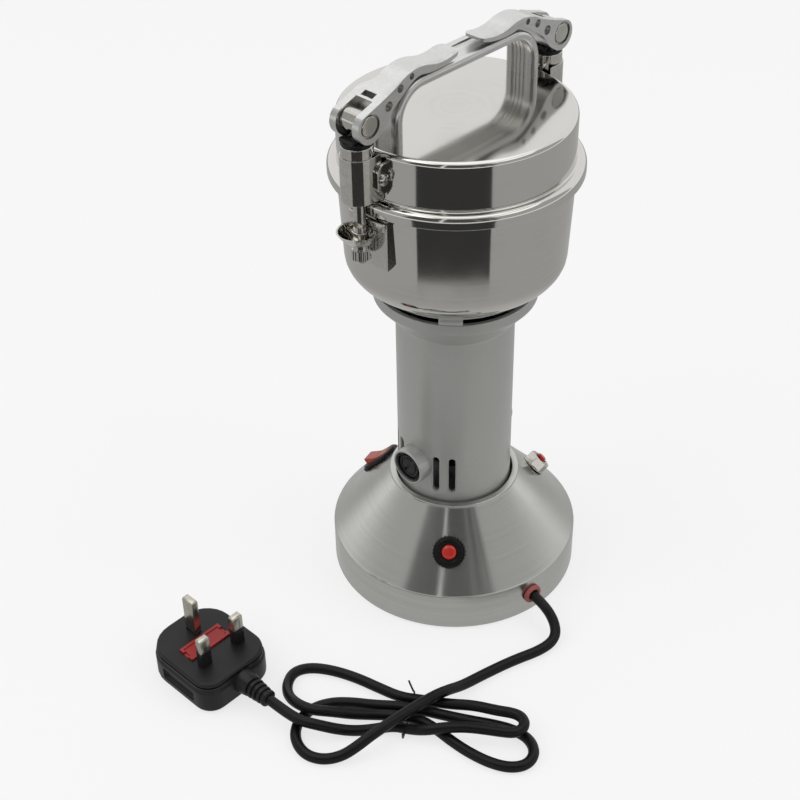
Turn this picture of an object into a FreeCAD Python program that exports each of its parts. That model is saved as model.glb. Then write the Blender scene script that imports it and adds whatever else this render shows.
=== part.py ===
import FreeCAD, Part
import math
import os

# Electric grain mill on a round base, all sizes in millimetres.
# Origin on the mill's axis at the underside of its feet, +Z up, +X along the lid handle.

# Fits shared by the whole mill
RUNNING_FIT = 0.05
PRESS_FIT = 0.05
SLIP_FIT = 0.1
AIR_GAP = 0.3
SIDES = (0, 180)

# Base
BASE_RADIUS = 67.8
BASE_BOTTOM = 1.5
BAND_TOP = 24.0
CONE_TOP_RADIUS = 34.4
CONE_TOP = 60.1
BASE_WALL = 2.0
BAND_ROUND = 1.6
SHELF_TOP = 53.0
SHELF_THICKNESS = 3.0
SHELF_BORE = 21.5
POST_RADIUS = 4.0
POST_CIRCLE = 50.0
POST_BORE_DEPTH = 12.0
PLATE_BOTTOM = 2.6
PLATE_THICKNESS = 1.6
PLATE_VENTS = 6
PLATE_VENT_SIZE = (14.0, 3.0)
PLATE_VENT_CIRCLE = 24.0
FOOT_RADIUS = 8.0
FOOT_STEM_RADIUS = 2.9
FOOT_HEAD_RADIUS = 3.8
FOOT_HEAD_THICKNESS = 1.8

# Screws
SCREW_RADIUS = 1.9
SCREW_HEAD_RADIUS = 3.6
SCREW_HEAD_THICKNESS = 1.6
SMALL_SCREW_RADIUS = 1.4
SMALL_HEAD_RADIUS = 2.5

# Motor housing
HOUSING_RADIUS = 30.8
HOUSING_WALL = 2.4
FLARE_BOTTOM = 162.6
FLARE_TOP = 176.0
COLLAR_RADIUS = 42.2
HOUSING_TOP = 181.7
FOOT_FLANGE_THICKNESS = 6.0
HOUSING_SCREW_CIRCLE = 25.0
GASKET_THICKNESS = 2.0
VENT_WIDTH = 3.6
VENT_BOTTOM = 66.0
VENT_TOP = 88.5
VENT_ANGLES = (23.6, 40.0)
BOSS_HEIGHT = 80.6
BOSS_RADIUS = 10.2
BOSS_REACH = 37.2
BOSS_BORE = 9.0
BOSS_LEDGE = 30.5
CAP_THICKNESS = 4.0
CAP_RECESS = 1.2
CAP_DISC_RADIUS = 6.5
CAP_SLOT_WIDTH = 1.6

# Motor
SHAFT_RADIUS = 3.95
SHAFT_BOTTOM = 60.0
SHAFT_TOP = 214.0
BEARING_RADIUS = 11.0
BEARING_WIDTH = 7.0
BRACKET_THICKNESS = 3.0
BRACKET_CUP_WALL = 2.45
COMMUTATOR_RADIUS = 9.0
COMMUTATOR_BOTTOM = 73.0
COMMUTATOR_TOP = 88.0
BRUSH_SIZE = (6.0, 7.6)
BRUSH_LENGTH = 14.7
HOLDER_RADIUS = 5.6
HOLDER_FLANGE_RADIUS = 7.5
HOLDER_FLANGE_THICKNESS = 1.5
ARMATURE_RADIUS = 15.2
ARMATURE_BOTTOM = 101.0
ARMATURE_TOP = 129.0
ARMATURE_SLOTS = 12
ARMATURE_SLOT_SIZE = (1.6, 4.0)
WINDING_RADIUS = 13.0
WINDING_LENGTH = 6.0
STATOR_BORE = 15.8
STATOR_OVERLAP = 1.0
COIL_INNER = 17.5
COIL_OUTER = 24.0
COIL_HALF_ANGLE = 32.0
COIL_OVERHANG = 6.0
FAN_BOTTOM = 142.0
FAN_HEIGHT = 8.0
FAN_RADIUS = 24.0
FAN_HUB_RADIUS = 8.0
FAN_VANES = 9
FAN_DISC_THICKNESS = 1.5

# Seat that carries the bowl
SEAT_BOTTOM = 185.1
SEAT_THICKNESS = 4.1
SEAT_TAB_WIDTH = 12.0
SEAT_TAB_DEPTH = 5.7
SEAT_TABS = 4
SEAT_TAB_ANGLE = -141.0
SEAT_LEG_BOTTOM = 179.4
SEAT_BOSS_RADIUS = 14.0
SEAT_BOSS_BOTTOM = 172.0
SHAFT_HOLE_RADIUS = 5.5
BOWL_GASKET_THICKNESS = 0.8
BOWL_GASKET_BORE = 30.0
BOWL_GASKET_RADIUS = 41.8

# Bowl
BOWL_WALL = 1.2
BOWL_DRAFT = 0.6
BOWL_CORNER = 12.0
BOWL_SHOULDER_RADIUS = 55.7
BOWL_MIDDLE_RADIUS = 56.7
BOWL_RIM_RADIUS = 57.9
BOWL_MIDDLE_HEIGHT = 37.0
BOWL_HEIGHT = 57.6
BOWL_FLANGE_RADIUS = 60.6
BOWL_HOLE_RADIUS = 8.0
BOWL_SCREW_CIRCLE = 22.0
SEAL_FLANGE_RADIUS = 10.0
SEAL_FLANGE_THICKNESS = 1.3

# Blades
BLADE_THICKNESS = 1.5
SPACER_RADIUS = 7.5
LOWER_BLADE_BOTTOM = 200.0
UPPER_BLADE_BOTTOM = 206.5
LOWER_SPACER_BOTTOM = 193.0
BLADE_WIDTH = 15.0
BLADE_ROOT = 14.0
BLADE_ROUND = 6.0
BLADE_TIP_OFFSET = 1.875
BLADE_TIP_WIDTH = 1.5
LOWER_BLADE_REACH = 46.0
LOWER_BLADE_DROP = 6.0
UPPER_BLADE_REACH = 42.0
UPPER_BLADE_RISE = 14.0
BLADE_NUT_FLATS = 13.0
BLADE_NUT_HEIGHT = 8.0

# Lid
LID_RADIUS = 57.4
LID_WALL = 1.1
LID_TOP = 278.0
LID_EDGE_ROUND = 2.5
BEAD_RADIUS = 62.3
BEAD_TOP = 253.6
BEAD_ROUND = 3.4
BEAD_WALL = 1.1
LID_BOTTOM = 247.0
LID_GASKET_CLEARANCE = 0.2
LID_GASKET_TOP = 250.9

# Handle
HANDLE_OUTER = 49.3
HANDLE_THICKNESS = 4.3
HANDLE_WIDTH = 18.0
HANDLE_TOP = 306.2
HANDLE_BAR_THICKNESS = 5.0
HANDLE_CORNER = 18.0
HANDLE_BEAD_WIDTH = 5.0
HANDLE_WEB_STEP = 1.0
HANDLE_EDGE_ROUND = 1.8
HANDLE_SCREW_OFFSET = 5.0

# Clamps, right side, mirrored by a half turn
CLAMP_X = 65.8
ROD_RADIUS = 2.9
ROD_BOTTOM = 225.0
TUBE_RADIUS = 7.6
TUBE_TOP = 284.0
STRAP_WALL = 0.6
STRAP_BOTTOM = 256.3
STRAP_TOP = 278.8
STRAP_END = 59.0
LUG_THICKNESS = 1.7
LUG_BOTTOM = 259.5
LUG_TOP = 274.5
LUG_END = 63.2
STRAP_SCREW_X = 59.6
STRAP_SCREW_Z = 266.8
STRAP_SCREW_HEAD = 2.9
STRAP_SCREW_HEAD_THICKNESS = 1.6
STRAP_SCREW_DEPTH = 3.6
STRAP_SCREW_CROSS = (3.4, 0.8)
STRAP_SCREW_CROSS_DEPTH = 0.8
BUSH_RADIUS = 7.5
SADDLE_HEIGHT = 286.1
BUSH_RIB_TOP = 288.2
BUSH_RIB_HALF = 4.3
PIN_Z = 295.0
PIN_RADIUS = 3.0
PIN_HEAD_RADIUS = 5.0
PIN_HEAD_THICKNESS = 1.6
BARREL_RADIUS = 4.6
BARREL_HALF = 4.7

# Levers
LEVER_HALF_WIDTH = 9.0
LEVER_TIP_HALF_WIDTH = 10.0
FORK_HALF = 5.0
FORK_ROOT_X = 55.6
CAM_RADIUS = 8.6
CAM_SLACK = 1.7
CAM_TURN = 140.0
HEAD_POCKET_RADIUS = 5.75
HEAD_POCKET_DEPTH = 1.8
LEVER_TIP_X = 3.5
LEVER_TIP_ROUND = 7.0
LEVER_TIP_LENGTH = 10.0
LEVER_NECK_X = 40.0
LEVER_HEEL = (62.2, 287.2)
LEVER_TOP_POINTS = (
    (60.4, 303.4),
    (50.4, 307.2),
    (44.1, 310.3),
    (37.4, 312.0),
    (31.3, 311.8),
    (22.8, 309.9),
    (17.1, 309.9),
    (10.6, 311.4),
    (LEVER_TIP_X, 313.0),
)
LEVER_UNDER_POINTS = (
    (LEVER_TIP_X, 311.4),
    (9.6, 309.9),
    (14.5, 308.1),
    (20.4, 307.1),
    (28.0, 307.2),
    (34.2, 308.0),
    (38.3, 306.8),
    (45.2, 302.4),
    (52.3, 296.8),
    (56.2, 291.6),
    LEVER_HEEL,
)
LEVER_HOLES = ((54.1, 300.4, 2.2), (46.7, 306.2, 1.8), (39.4, 309.4, 1.4))
LEVER_HOLE_DEPTH = 1.2
LEVER_NOTCH = (4.0, 8.0, 1.6)
LEVER_NOTCH_TOP = 305.6
LEVER_NOTCH_OFFSET = 5.6

# Clamp cups and their nuts
CUP_BOTTOM = 233.0
CUP_RIM = 240.0
CUP_BOTTOM_RADIUS = 4.6
CUP_RIM_RADIUS = 9.4
CUP_OFFSET = 2.4
CUP_WALL = 0.9
CUP_FLAT_X = 60.9
CUP_HUB_RADIUS = 3.9
NUT_RADIUS = 4.4
NUT_BOTTOM = 223.5
NUT_TOP = 230.0
NUT_FLUTES = 16
NUT_NECK_RADIUS = 3.6
NUT_CHAMFER = 1.2
NUT_FLUTE_RADIUS = 0.32

# Brackets on the bowl that the cups pull against
BRACKET_HALF_WIDTH = 11.0
BRACKET_STANDOFF = 59.3
BRACKET_WALL = 1.2
BRACKET_BOTTOM = 218.5
BRACKET_TOP = 244.6
BRACKET_LIP_RADIUS = 62.4
DIMPLE_RADIUS = 1.6
DIMPLE_RISE = 4.5
DIMPLE_HEIGHT = 0.3

# Switches on the cone
ROCKER_ANGLE = 105.0
ROCKER_CIRCLE = 47.0
ROCKER_BEZEL_LENGTH = 26.0
ROCKER_BEZEL_WIDTH = 13.0
ROCKER_BEZEL_THICKNESS = 2.0
ROCKER_WINDOW_LENGTH = 19.0
ROCKER_WINDOW_WIDTH = 8.8
ROCKER_BODY_LENGTH = 22.4
ROCKER_BODY_WIDTH = 11.2
ROCKER_BODY_DEPTH = 11.0
ROCKER_HALF_LENGTH = 8.3
ROCKER_CREST = 3.2
ROCKER_WING_HEIGHT = 4.9
ROCKER_DEPTH = 3.0
ROCKER_TILT = 12.0
ROCKER_PIN_RADIUS = 1.0
ROCKER_PIN_REACH = 0.6
ROCKER_PIN_POCKET = 0.9
ROCKER_BEZEL_CORNER = 5.5
ROCKER_BEZEL_ROUND = 0.9
ROCKER_TIP_ROUND = 0.5
ROCKER_DRAFT = 0.4
RESET_ANGLE = -140.6
RESET_CIRCLE = 51.5
RESET_BEZEL_RADIUS = 8.5
RESET_BEZEL_HEIGHT = 2.8
RESET_KNURLS = 24
RESET_NOTCH_RADIUS = 0.4
RESET_RIM = 2.6
RESET_BARREL_RADIUS = 5.9
RESET_BARREL_DEPTH = 9.0
RESET_BUTTON_RADIUS = 4.0
RESET_BUTTON_TOP = 4.4
RESET_STROKE = 1.5
HEX_ANGLE = -27.0
HEX_CIRCLE = 48.0
HEX_WASHER_RADIUS = 6.5
HEX_WASHER_THICKNESS = 0.8
HEX_NUT_FLATS = 10.0
HEX_NUT_HEIGHT = 2.4
HEX_BARREL_RADIUS = 3.4
HEX_BARREL_TOP = 4.6
HEX_BARREL_DEPTH = 8.0
HEX_BUTTON_RADIUS = 2.6
HEX_BUTTON_TOP = 6.4
BUTTON_SIDES = 8
BARREL_FLOOR = 1.5

# Cord
CORD_RADIUS = 2.8
CORD_ANGLE = -99.4
CORD_HEIGHT = 14.0
CORD_INNER_END = 60.0
GROMMET_BORE_CLEARANCE = 0.2
GROMMET_RADIUS = 5.4
GROMMET_NECK_RADIUS = 4.3
GROMMET_FLANGE = 2.4
GROMMET_INNER_FLANGE = 1.6
GROMMET_ROUND = 1.1
CORD_SELF_GAP = 0.4

# Wire tie, its bends given as distances across and along the bundle and heights
TIE_RADIUS = 0.5
TIE_PLACE = (-111.5, -70.8)
TIE_HEADING = 31.3
TIE_BENDS = (
    (-15.3, 0, 4.6),
    (-15.3, 0, 1.6),
    (-13.9, 0, 0.52),
    (11.55, 0, 0.52),
    (12.95, 0, 1.6),
    (12.95, 0, 5.6),
    (10.75, 0, 7.5),
    (13.45, -3.0, 12.4),
)

# Points of the lead, from the grommet to the tied bundle, in order and chosen by hand.
LEAD_POINTS = (
    (-14.4, -86.4, 8.2),
    (-19.9, -92.2, 3.6),
    (-31.0, -92.0, 2.9),
    (-47.9, -85.6, 2.9),
    (-66.0, -80.8, 2.9),
    (-80.0, -79.0, 4.6),
    (-91.0, -78.2, 9.4),
)

# Points of the tied bundle, from the lead to the plug, in order and chosen by hand.
BUNDLE_POINTS = (
    (-102.0, -77.3, 12.4),
    (-121.6, -74.6, 12.6),
    (-137.7, -71.8, 11.0),
    (-147.5, -69.8, 8.0),
    (-155.0, -66.4, 4.4),
    (-162.0, -60.6, 2.9),
    (-165.9, -52.5, 2.9),
    (-164.4, -43.7, 2.9),
    (-159.4, -36.8, 2.9),
    (-151.8, -32.6, 2.9),
    (-141.8, -32.4, 2.9),
    (-132.9, -37.0, 2.9),
    (-126.0, -44.6, 2.9),
    (-119.6, -54.0, 2.9),
    (-112.5, -63.8, 3.95),
    (-106.3, -74.0, 3.95),
    (-99.9, -85.0, 2.9),
    (-93.9, -96.5, 2.9),
    (-87.4, -107.4, 2.9),
    (-83.0, -117.6, 2.9),
    (-82.6, -127.0, 2.9),
    (-87.5, -134.2, 2.9),
    (-95.4, -136.0, 2.9),
    (-102.4, -131.5, 2.9),
    (-107.0, -122.5, 2.9),
    (-109.4, -110.6, 2.9),
    (-110.0, -99.0, 2.9),
    (-109.5, -88.4, 2.9),
    (-111.3, -77.6, 3.95),
    (-117.7, -67.0, 3.95),
    (-124.6, -58.2, 3.1),
    (-133.4, -51.0, 5.4),
    (-141.6, -44.6, 9.2),
    (-147.6, -37.0, 9.3),
    (-149.8, -28.2, 9.2),
    (-146.8, -18.4, 5.4),
    (-140.6, -10.6, 2.9),
    (-132.4, -6.8, 2.9),
    (-124.3, -10.8, 2.9),
    (-117.6, -20.8, 2.9),
    (-112.6, -34.0, 2.9),
    (-109.6, -47.6, 2.9),
    (-107.3, -60.6, 3.95),
    (-100.7, -70.6, 3.95),
    (-93.8, -82.2, 4.2),
    (-88.6, -94.2, 8.3),
    (-83.8, -105.6, 9.2),
    (-79.6, -112.4, 9.2),
    (-78.4, -117.0, 9.2),
    (-80.2, -121.2, 9.2),
    (-84.4, -123.0, 9.2),
    (-88.8, -121.4, 9.2),
    (-92.0, -117.2, 9.2),
    (-96.4, -110.2, 9.2),
    (-102.4, -101.4, 9.2),
    (-110.0, -93.8, 9.2),
    (-116.4, -87.2, 7.4),
    (-119.4, -79.4, 4.3),
    (-123.4, -71.2, 3.95),
    (-130.8, -65.2, 2.9),
    (-138.4, -59.2, 3.2),
    (-145.6, -53.4, 6.0),
    (-152.0, -46.6, 9.2),
    (-156.2, -38.0, 9.2),
    (-158.0, -28.0, 10.3),
    (-158.0, -17.0, 10.3),
)

# Plug lying on its back with the pins up
PLUG_X = -158.0
PLUG_SIDES = (-182.4, -136.8)
PLUG_ENDS = (2.0, 54.6)
PLUG_FACE = 20.0
PLUG_DEPTH = 19.4
PLUG_CORD_CORNER = 10.0
PLUG_EARTH_CORNER = 16.5
PLUG_BACK_ROUND = 3.0
PLUG_FRONT_ROUND = 1.2
PLUG_LINE_Y = 19.0
EARTH_SPACING = 22.2
PIN_SPACING = 22.2
LINE_PIN = (6.3, 4.0, 17.7)
EARTH_PIN = (4.0, 8.0, 22.7)
RELIEF_RADIUS = 4.6
RELIEF_RIBS = 4
RELIEF_PITCH = 2.6
RELIEF_GROOVE = (1.0, 0.9)
PIN_DEPTH = 7.5
FUSE_COVER = (26.0, 10.4, 1.0)
FUSE_CENTRE = (-160.0, 29.6)
FUSE_DEPTH = 3.0
FUSE_NOTCH = (2.4, 4.0)


def vec(x, y, z):
    """A point or direction."""
    return FreeCAD.Vector(x, y, z)


UP = vec(0, 0, 1)


def corner_arc(before, corner, after, radius):
    """The arc of the given radius that rounds one corner, with its two tangent points."""
    to_before = (before - corner).normalize()
    to_after = (after - corner).normalize()
    half = to_before.getAngle(to_after) / 2
    start = corner + to_before * (radius / math.tan(half))
    end = corner + to_after * (radius / math.tan(half))
    middle = (to_before + to_after).normalize()
    middle = corner + middle * (radius / math.sin(half) - radius)
    return start, middle, end


def outline(points):
    """A closed wire through (u, v) or (u, v, corner radius) points, drawn in the XZ plane."""
    corners = [vec(point[0], 0, point[1]) for point in points]
    edges = []
    ends = []
    for index, point in enumerate(points):
        if len(point) == 3:
            before = corners[index - 1]
            after = corners[(index + 1) % len(points)]
            start, middle, end = corner_arc(before, corners[index], after, point[2])
            ends.append((start, end))
            edges.append(Part.Arc(start, middle, end).toShape())
        else:
            ends.append((corners[index], corners[index]))
    for index in range(len(points)):
        start = ends[index][1]
        end = ends[(index + 1) % len(points)][0]
        if start.distanceToPoint(end) > 1e-6:
            edges.append(Part.makeLine(start, end))
    return Part.Wire(Part.__sortEdges__(edges))


def turned(points, angle=360.0, start=0.0):
    """A solid turned about the mill's axis from an outline of (radius, height) points."""
    solid = Part.Face(outline(points)).revolve(vec(0, 0, 0), UP, angle)
    return rotated(solid, start)


def ring(inner, outer, bottom, top, x=0.0, y=0.0):
    """An upright tube, or a disc where the inner radius is nothing."""
    body = Part.makeCylinder(outer, top - bottom, vec(x, y, bottom))
    if inner > 0:
        body = body.cut(Part.makeCylinder(inner, top - bottom, vec(x, y, bottom)))
    return body


def box(x_range, y_range, z_range):
    """A block between the given limits."""
    size = [limits[1] - limits[0] for limits in (x_range, y_range, z_range)]
    return Part.makeBox(*size, vec(x_range[0], y_range[0], z_range[0]))


def side_plate(points, y_from, y_to):
    """An outline in the XZ plane, extruded along Y."""
    face = Part.Face(outline(points))
    face.translate(vec(0, y_from, 0))
    return face.extrude(vec(0, y_to - y_from, 0))


def plan_plate(points, bottom, top):
    """An outline in the XY plane, extruded upwards."""
    face = Part.Face(outline(points))
    face.rotate(vec(0, 0, 0), vec(1, 0, 0), -90)
    face.translate(vec(0, 0, bottom))
    return face.extrude(vec(0, 0, top - bottom))


def rotated(shape, angle):
    """A copy turned about the mill's axis."""
    copy = shape.copy()
    copy.rotate(vec(0, 0, 0), UP, angle)
    return copy


def polar(shape, count, start=0.0):
    """Copies spread evenly round the mill's axis."""
    return [rotated(shape, start + 360.0 / count * index) for index in range(count)]


def rod(start, end, radius):
    """A round bar between two points."""
    return Part.makeCylinder(radius, start.distanceToPoint(end), start, end - start)


def cone_frame(angle, circle):
    """The place on the base's cone at an angle and radius: X up the slope, Z straight out."""
    slope = vec(CONE_TOP_RADIUS - BASE_RADIUS, 0, CONE_TOP - BAND_TOP).normalize()
    normal = vec(slope.z, 0, -slope.x)
    height = BAND_TOP + (BASE_RADIUS - circle) * slope.z / -slope.x
    sideways = normal.cross(slope)
    matrix = FreeCAD.Matrix(
        slope.x, sideways.x, normal.x, circle,
        slope.y, sideways.y, normal.y, 0,
        slope.z, sideways.z, normal.z, height,
        0, 0, 0, 1,
    )
    turn = FreeCAD.Placement(vec(0, 0, 0), FreeCAD.Rotation(UP, angle))
    return turn.multiply(FreeCAD.Placement(matrix))


def placed(shape, frame):
    """A copy of a shape, moved from the origin into a frame."""
    copy = shape.copy()
    copy.Placement = frame.multiply(copy.Placement)
    return copy


def solids_of(shapes):
    """One compound of all the solids in the given shapes."""
    found = []
    for shape in shapes:
        found.extend(shape.Solids)
    return Part.makeCompound(found)


def screw(x, y, seat, length, radius=SCREW_RADIUS, head=SCREW_HEAD_RADIUS):
    """An upright pan head screw, driven upwards with its head's top face on the seat."""
    head_disc = ring(0, head, seat - SCREW_HEAD_THICKNESS, seat, x, y)
    head_disc = head_disc.makeFillet(SCREW_HEAD_THICKNESS / 2, [head_disc.Edges[2]])
    shank = ring(0, radius, seat, seat + length, x, y)
    slot = box((x - head, x + head), (y - 0.4, y + 0.4), (seat - SCREW_HEAD_THICKNESS, seat - 1.0))
    return head_disc.fuse(shank).cut(slot)


def on_circle(circle, count, start):
    """Points spread evenly on a circle about the mill's axis."""
    angles = [math.radians(start + 360.0 / count * index) for index in range(count)]
    return [(circle * math.cos(angle), circle * math.sin(angle)) for angle in angles]


# Base

PLATE_TOP = PLATE_BOTTOM + PLATE_THICKNESS
SLOPE_LENGTH = math.hypot(BASE_RADIUS - CONE_TOP_RADIUS, CONE_TOP - BAND_TOP)
WALL_IN = BASE_WALL * (CONE_TOP - BAND_TOP) / SLOPE_LENGTH
WALL_DOWN = BASE_WALL * (BASE_RADIUS - CONE_TOP_RADIUS) / SLOPE_LENGTH
BAND_INNER = BASE_RADIUS - BASE_WALL


def inner_cone_radius(height):
    """The radius of the inside of the cone at a height."""
    run = (BASE_RADIUS - CONE_TOP_RADIUS) / (CONE_TOP - BAND_TOP)
    return BASE_RADIUS - WALL_IN - (height - (BAND_TOP - WALL_DOWN)) * run


def inner_cone_height(radius):
    """The height of the inside of the cone at a radius."""
    rise = (CONE_TOP - BAND_TOP) / (BASE_RADIUS - CONE_TOP_RADIUS)
    return BAND_TOP - WALL_DOWN + (BASE_RADIUS - WALL_IN - radius) * rise


def base_shell():
    """The spun base with its shelf for the motor housing and four posts for the plate."""
    shelf_bottom = SHELF_TOP - SHELF_THICKNESS
    shell = turned((
        (BASE_RADIUS, BASE_BOTTOM),
        (BASE_RADIUS, BAND_TOP, BAND_ROUND),
        (CONE_TOP_RADIUS, CONE_TOP),
        (CONE_TOP_RADIUS - WALL_IN, CONE_TOP - WALL_DOWN),
        (inner_cone_radius(SHELF_TOP), SHELF_TOP),
        (SHELF_BORE, SHELF_TOP),
        (SHELF_BORE, shelf_bottom),
        (inner_cone_radius(shelf_bottom), shelf_bottom),
        (BAND_INNER, inner_cone_height(BAND_INNER)),
        (BAND_INNER, BASE_BOTTOM),
    ))
    outside = turned((
        (0, BASE_BOTTOM),
        (BASE_RADIUS - BASE_WALL / 2, BASE_BOTTOM),
        (BASE_RADIUS - BASE_WALL / 2, inner_cone_height(BAND_INNER)),
        (CONE_TOP_RADIUS - WALL_IN / 2, CONE_TOP - WALL_DOWN / 2),
        (0, CONE_TOP),
    ))
    for x, y in on_circle(POST_CIRCLE, 4, 0):
        post = ring(0, POST_RADIUS, PLATE_TOP, shelf_bottom, x, y).common(outside)
        shell = shell.fuse(post)
        shell = shell.cut(ring(0, SCREW_RADIUS + SLIP_FIT, PLATE_TOP, PLATE_TOP + POST_BORE_DEPTH, x, y))
    for x, y in on_circle(HOUSING_SCREW_CIRCLE, 4, 45):
        shell = shell.cut(ring(0, SCREW_RADIUS + SLIP_FIT, shelf_bottom, SHELF_TOP, x, y))
    pocket = box(
        (-ROCKER_BODY_LENGTH / 2 - SLIP_FIT, ROCKER_BODY_LENGTH / 2 + SLIP_FIT),
        (-ROCKER_BODY_WIDTH / 2 - SLIP_FIT, ROCKER_BODY_WIDTH / 2 + SLIP_FIT),
        (-ROCKER_BODY_DEPTH - AIR_GAP, BASE_WALL),
    )
    shell = shell.cut(placed(pocket, cone_frame(ROCKER_ANGLE, ROCKER_CIRCLE)))
    reset_hole = ring(0, RESET_BARREL_RADIUS + SLIP_FIT, -RESET_BARREL_DEPTH, BASE_WALL)
    shell = shell.cut(placed(reset_hole, cone_frame(RESET_ANGLE, RESET_CIRCLE)))
    hex_hole = ring(0, HEX_BARREL_RADIUS + SLIP_FIT, -HEX_BARREL_DEPTH, BASE_WALL)
    shell = shell.cut(placed(hex_hole, cone_frame(HEX_ANGLE, HEX_CIRCLE)))
    inlet = rod(
        vec(BAND_INNER - BASE_WALL, 0, CORD_HEIGHT),
        vec(BASE_RADIUS + BASE_WALL, 0, CORD_HEIGHT),
        GROMMET_NECK_RADIUS + SLIP_FIT,
    )
    return shell.cut(rotated(inlet, CORD_ANGLE))


def base_plate():
    """The sheet that closes the base, with holes for screws and feet and a ring of vents."""
    plate = ring(0, BAND_INNER - AIR_GAP, PLATE_BOTTOM, PLATE_TOP)
    for x, y in on_circle(POST_CIRCLE, 4, 0):
        plate = plate.cut(ring(0, SCREW_RADIUS + SLIP_FIT, PLATE_BOTTOM, PLATE_TOP, x, y))
    for x, y in on_circle(POST_CIRCLE, 4, 45):
        plate = plate.cut(ring(0, FOOT_STEM_RADIUS + SLIP_FIT, PLATE_BOTTOM, PLATE_TOP, x, y))
    length, width = PLATE_VENT_SIZE
    vent = box(
        (PLATE_VENT_CIRCLE - length / 2, PLATE_VENT_CIRCLE + length / 2),
        (-width / 2, width / 2),
        (PLATE_BOTTOM, PLATE_TOP),
    )
    for cutter in polar(vent, PLATE_VENTS, 15):
        plate = plate.cut(cutter)
    return plate


def rubber_feet():
    """Four push-in feet that stand on the table."""
    feet = []
    for x, y in on_circle(POST_CIRCLE, 4, 45):
        pad = Part.makeCone(FOOT_RADIUS - 1, FOOT_RADIUS, PLATE_BOTTOM, vec(x, y, 0))
        stem = ring(0, FOOT_STEM_RADIUS, PLATE_BOTTOM, PLATE_TOP, x, y)
        head = Part.makeCone(
            FOOT_HEAD_RADIUS, FOOT_STEM_RADIUS, FOOT_HEAD_THICKNESS, vec(x, y, PLATE_TOP))
        feet.append(pad.fuse(stem).fuse(head).removeSplitter())
    return feet


def pan_head_screws():
    """The screws of the base plate, of the motor housing and of the bowl."""
    screws = []
    for x, y in on_circle(POST_CIRCLE, 4, 0):
        screws.append(screw(x, y, PLATE_BOTTOM, PLATE_THICKNESS + POST_BORE_DEPTH - 1))
    for x, y in on_circle(HOUSING_SCREW_CIRCLE, 4, 45):
        screws.append(screw(x, y, SHELF_TOP - SHELF_THICKNESS,
                            SHELF_THICKNESS + FOOT_FLANGE_THICKNESS - 1))
    bowl_floor = BOWL_BOTTOM + BOWL_WALL
    for x, y in on_circle(BOWL_SCREW_CIRCLE, 4, 45):
        upright = screw(x, y, 0, BOWL_WALL + BOWL_GASKET_THICKNESS + SEAT_THICKNESS - 1)
        upright.rotate(vec(x, y, 0), vec(1, 0, 0), 180)
        upright.translate(vec(0, 0, bowl_floor))
        screws.append(upright)
    return screws


# Motor housing

def motor_housing():
    """The painted column with its brush bosses, flared collar, foot flange and vents."""
    flare_angle = math.atan2(COLLAR_RADIUS - HOUSING_RADIUS, FLARE_TOP - FLARE_BOTTOM)
    lift = HOUSING_WALL * math.tan(flare_angle / 2)
    inner = HOUSING_RADIUS - HOUSING_WALL
    flange_top = SHELF_TOP + FOOT_FLANGE_THICKNESS
    body = turned((
        (HOUSING_RADIUS, SHELF_TOP),
        (HOUSING_RADIUS, FLARE_BOTTOM, 3.0),
        (COLLAR_RADIUS, FLARE_TOP, 1.0),
        (COLLAR_RADIUS, HOUSING_TOP),
        (COLLAR_RADIUS - HOUSING_WALL, HOUSING_TOP),
        (COLLAR_RADIUS - HOUSING_WALL, FLARE_TOP + lift),
        (inner, FLARE_BOTTOM + lift),
        (inner, flange_top),
        (SHELF_BORE, flange_top),
        (SHELF_BORE, SHELF_TOP),
    ))
    bore = ring(0, inner, flange_top, FLARE_BOTTOM)
    for x, y in on_circle(HOUSING_SCREW_CIRCLE, 4, 45):
        body = body.cut(ring(0, SCREW_RADIUS + SLIP_FIT, SHELF_TOP, flange_top, x, y))
    for side in (-1, 1):
        root = vec(side * (inner - 1), 0, BOSS_HEIGHT)
        boss = rod(root, vec(side * BOSS_REACH, 0, BOSS_HEIGHT), BOSS_RADIUS)
        rim = [edge for edge in boss.Edges
               if edge.Closed and abs(abs(edge.CenterOfMass.x) - BOSS_REACH) < 0.01]
        boss = boss.makeFillet(0.6, rim)
        body = body.fuse(boss.cut(bore))
        ledge = vec(side * BOSS_LEDGE, 0, BOSS_HEIGHT)
        mouth = vec(side * (BOSS_REACH + 1), 0, BOSS_HEIGHT)
        body = body.cut(rod(ledge, mouth, BOSS_BORE))
        body = body.cut(rod(root, mouth, HOLDER_RADIUS + SLIP_FIT))
    for angle in VENT_ANGLES:
        for heading in (angle, -angle, 180 - angle, 180 + angle):
            body = body.cut(rotated(vent_cutter(), heading))
    return body


def vent_cutter():
    """One upright slot with round ends, through the housing's wall on the +X side."""
    half = VENT_WIDTH / 2
    near = HOUSING_RADIUS - HOUSING_WALL - 1
    far = HOUSING_RADIUS + 1
    slot = box((near, far), (-half, half), (VENT_BOTTOM + half, VENT_TOP - half))
    for height in (VENT_BOTTOM + half, VENT_TOP - half):
        slot = slot.fuse(rod(vec(near, 0, height), vec(far, 0, height), half))
    return slot


def housing_gasket():
    """The dark ring that fills the seam between the column and the cone."""
    top = SHELF_TOP + GASKET_THICKNESS
    outer = inner_cone_radius(top) - SLIP_FIT
    return ring(HOUSING_RADIUS + SLIP_FIT, outer, SHELF_TOP, top)


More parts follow.
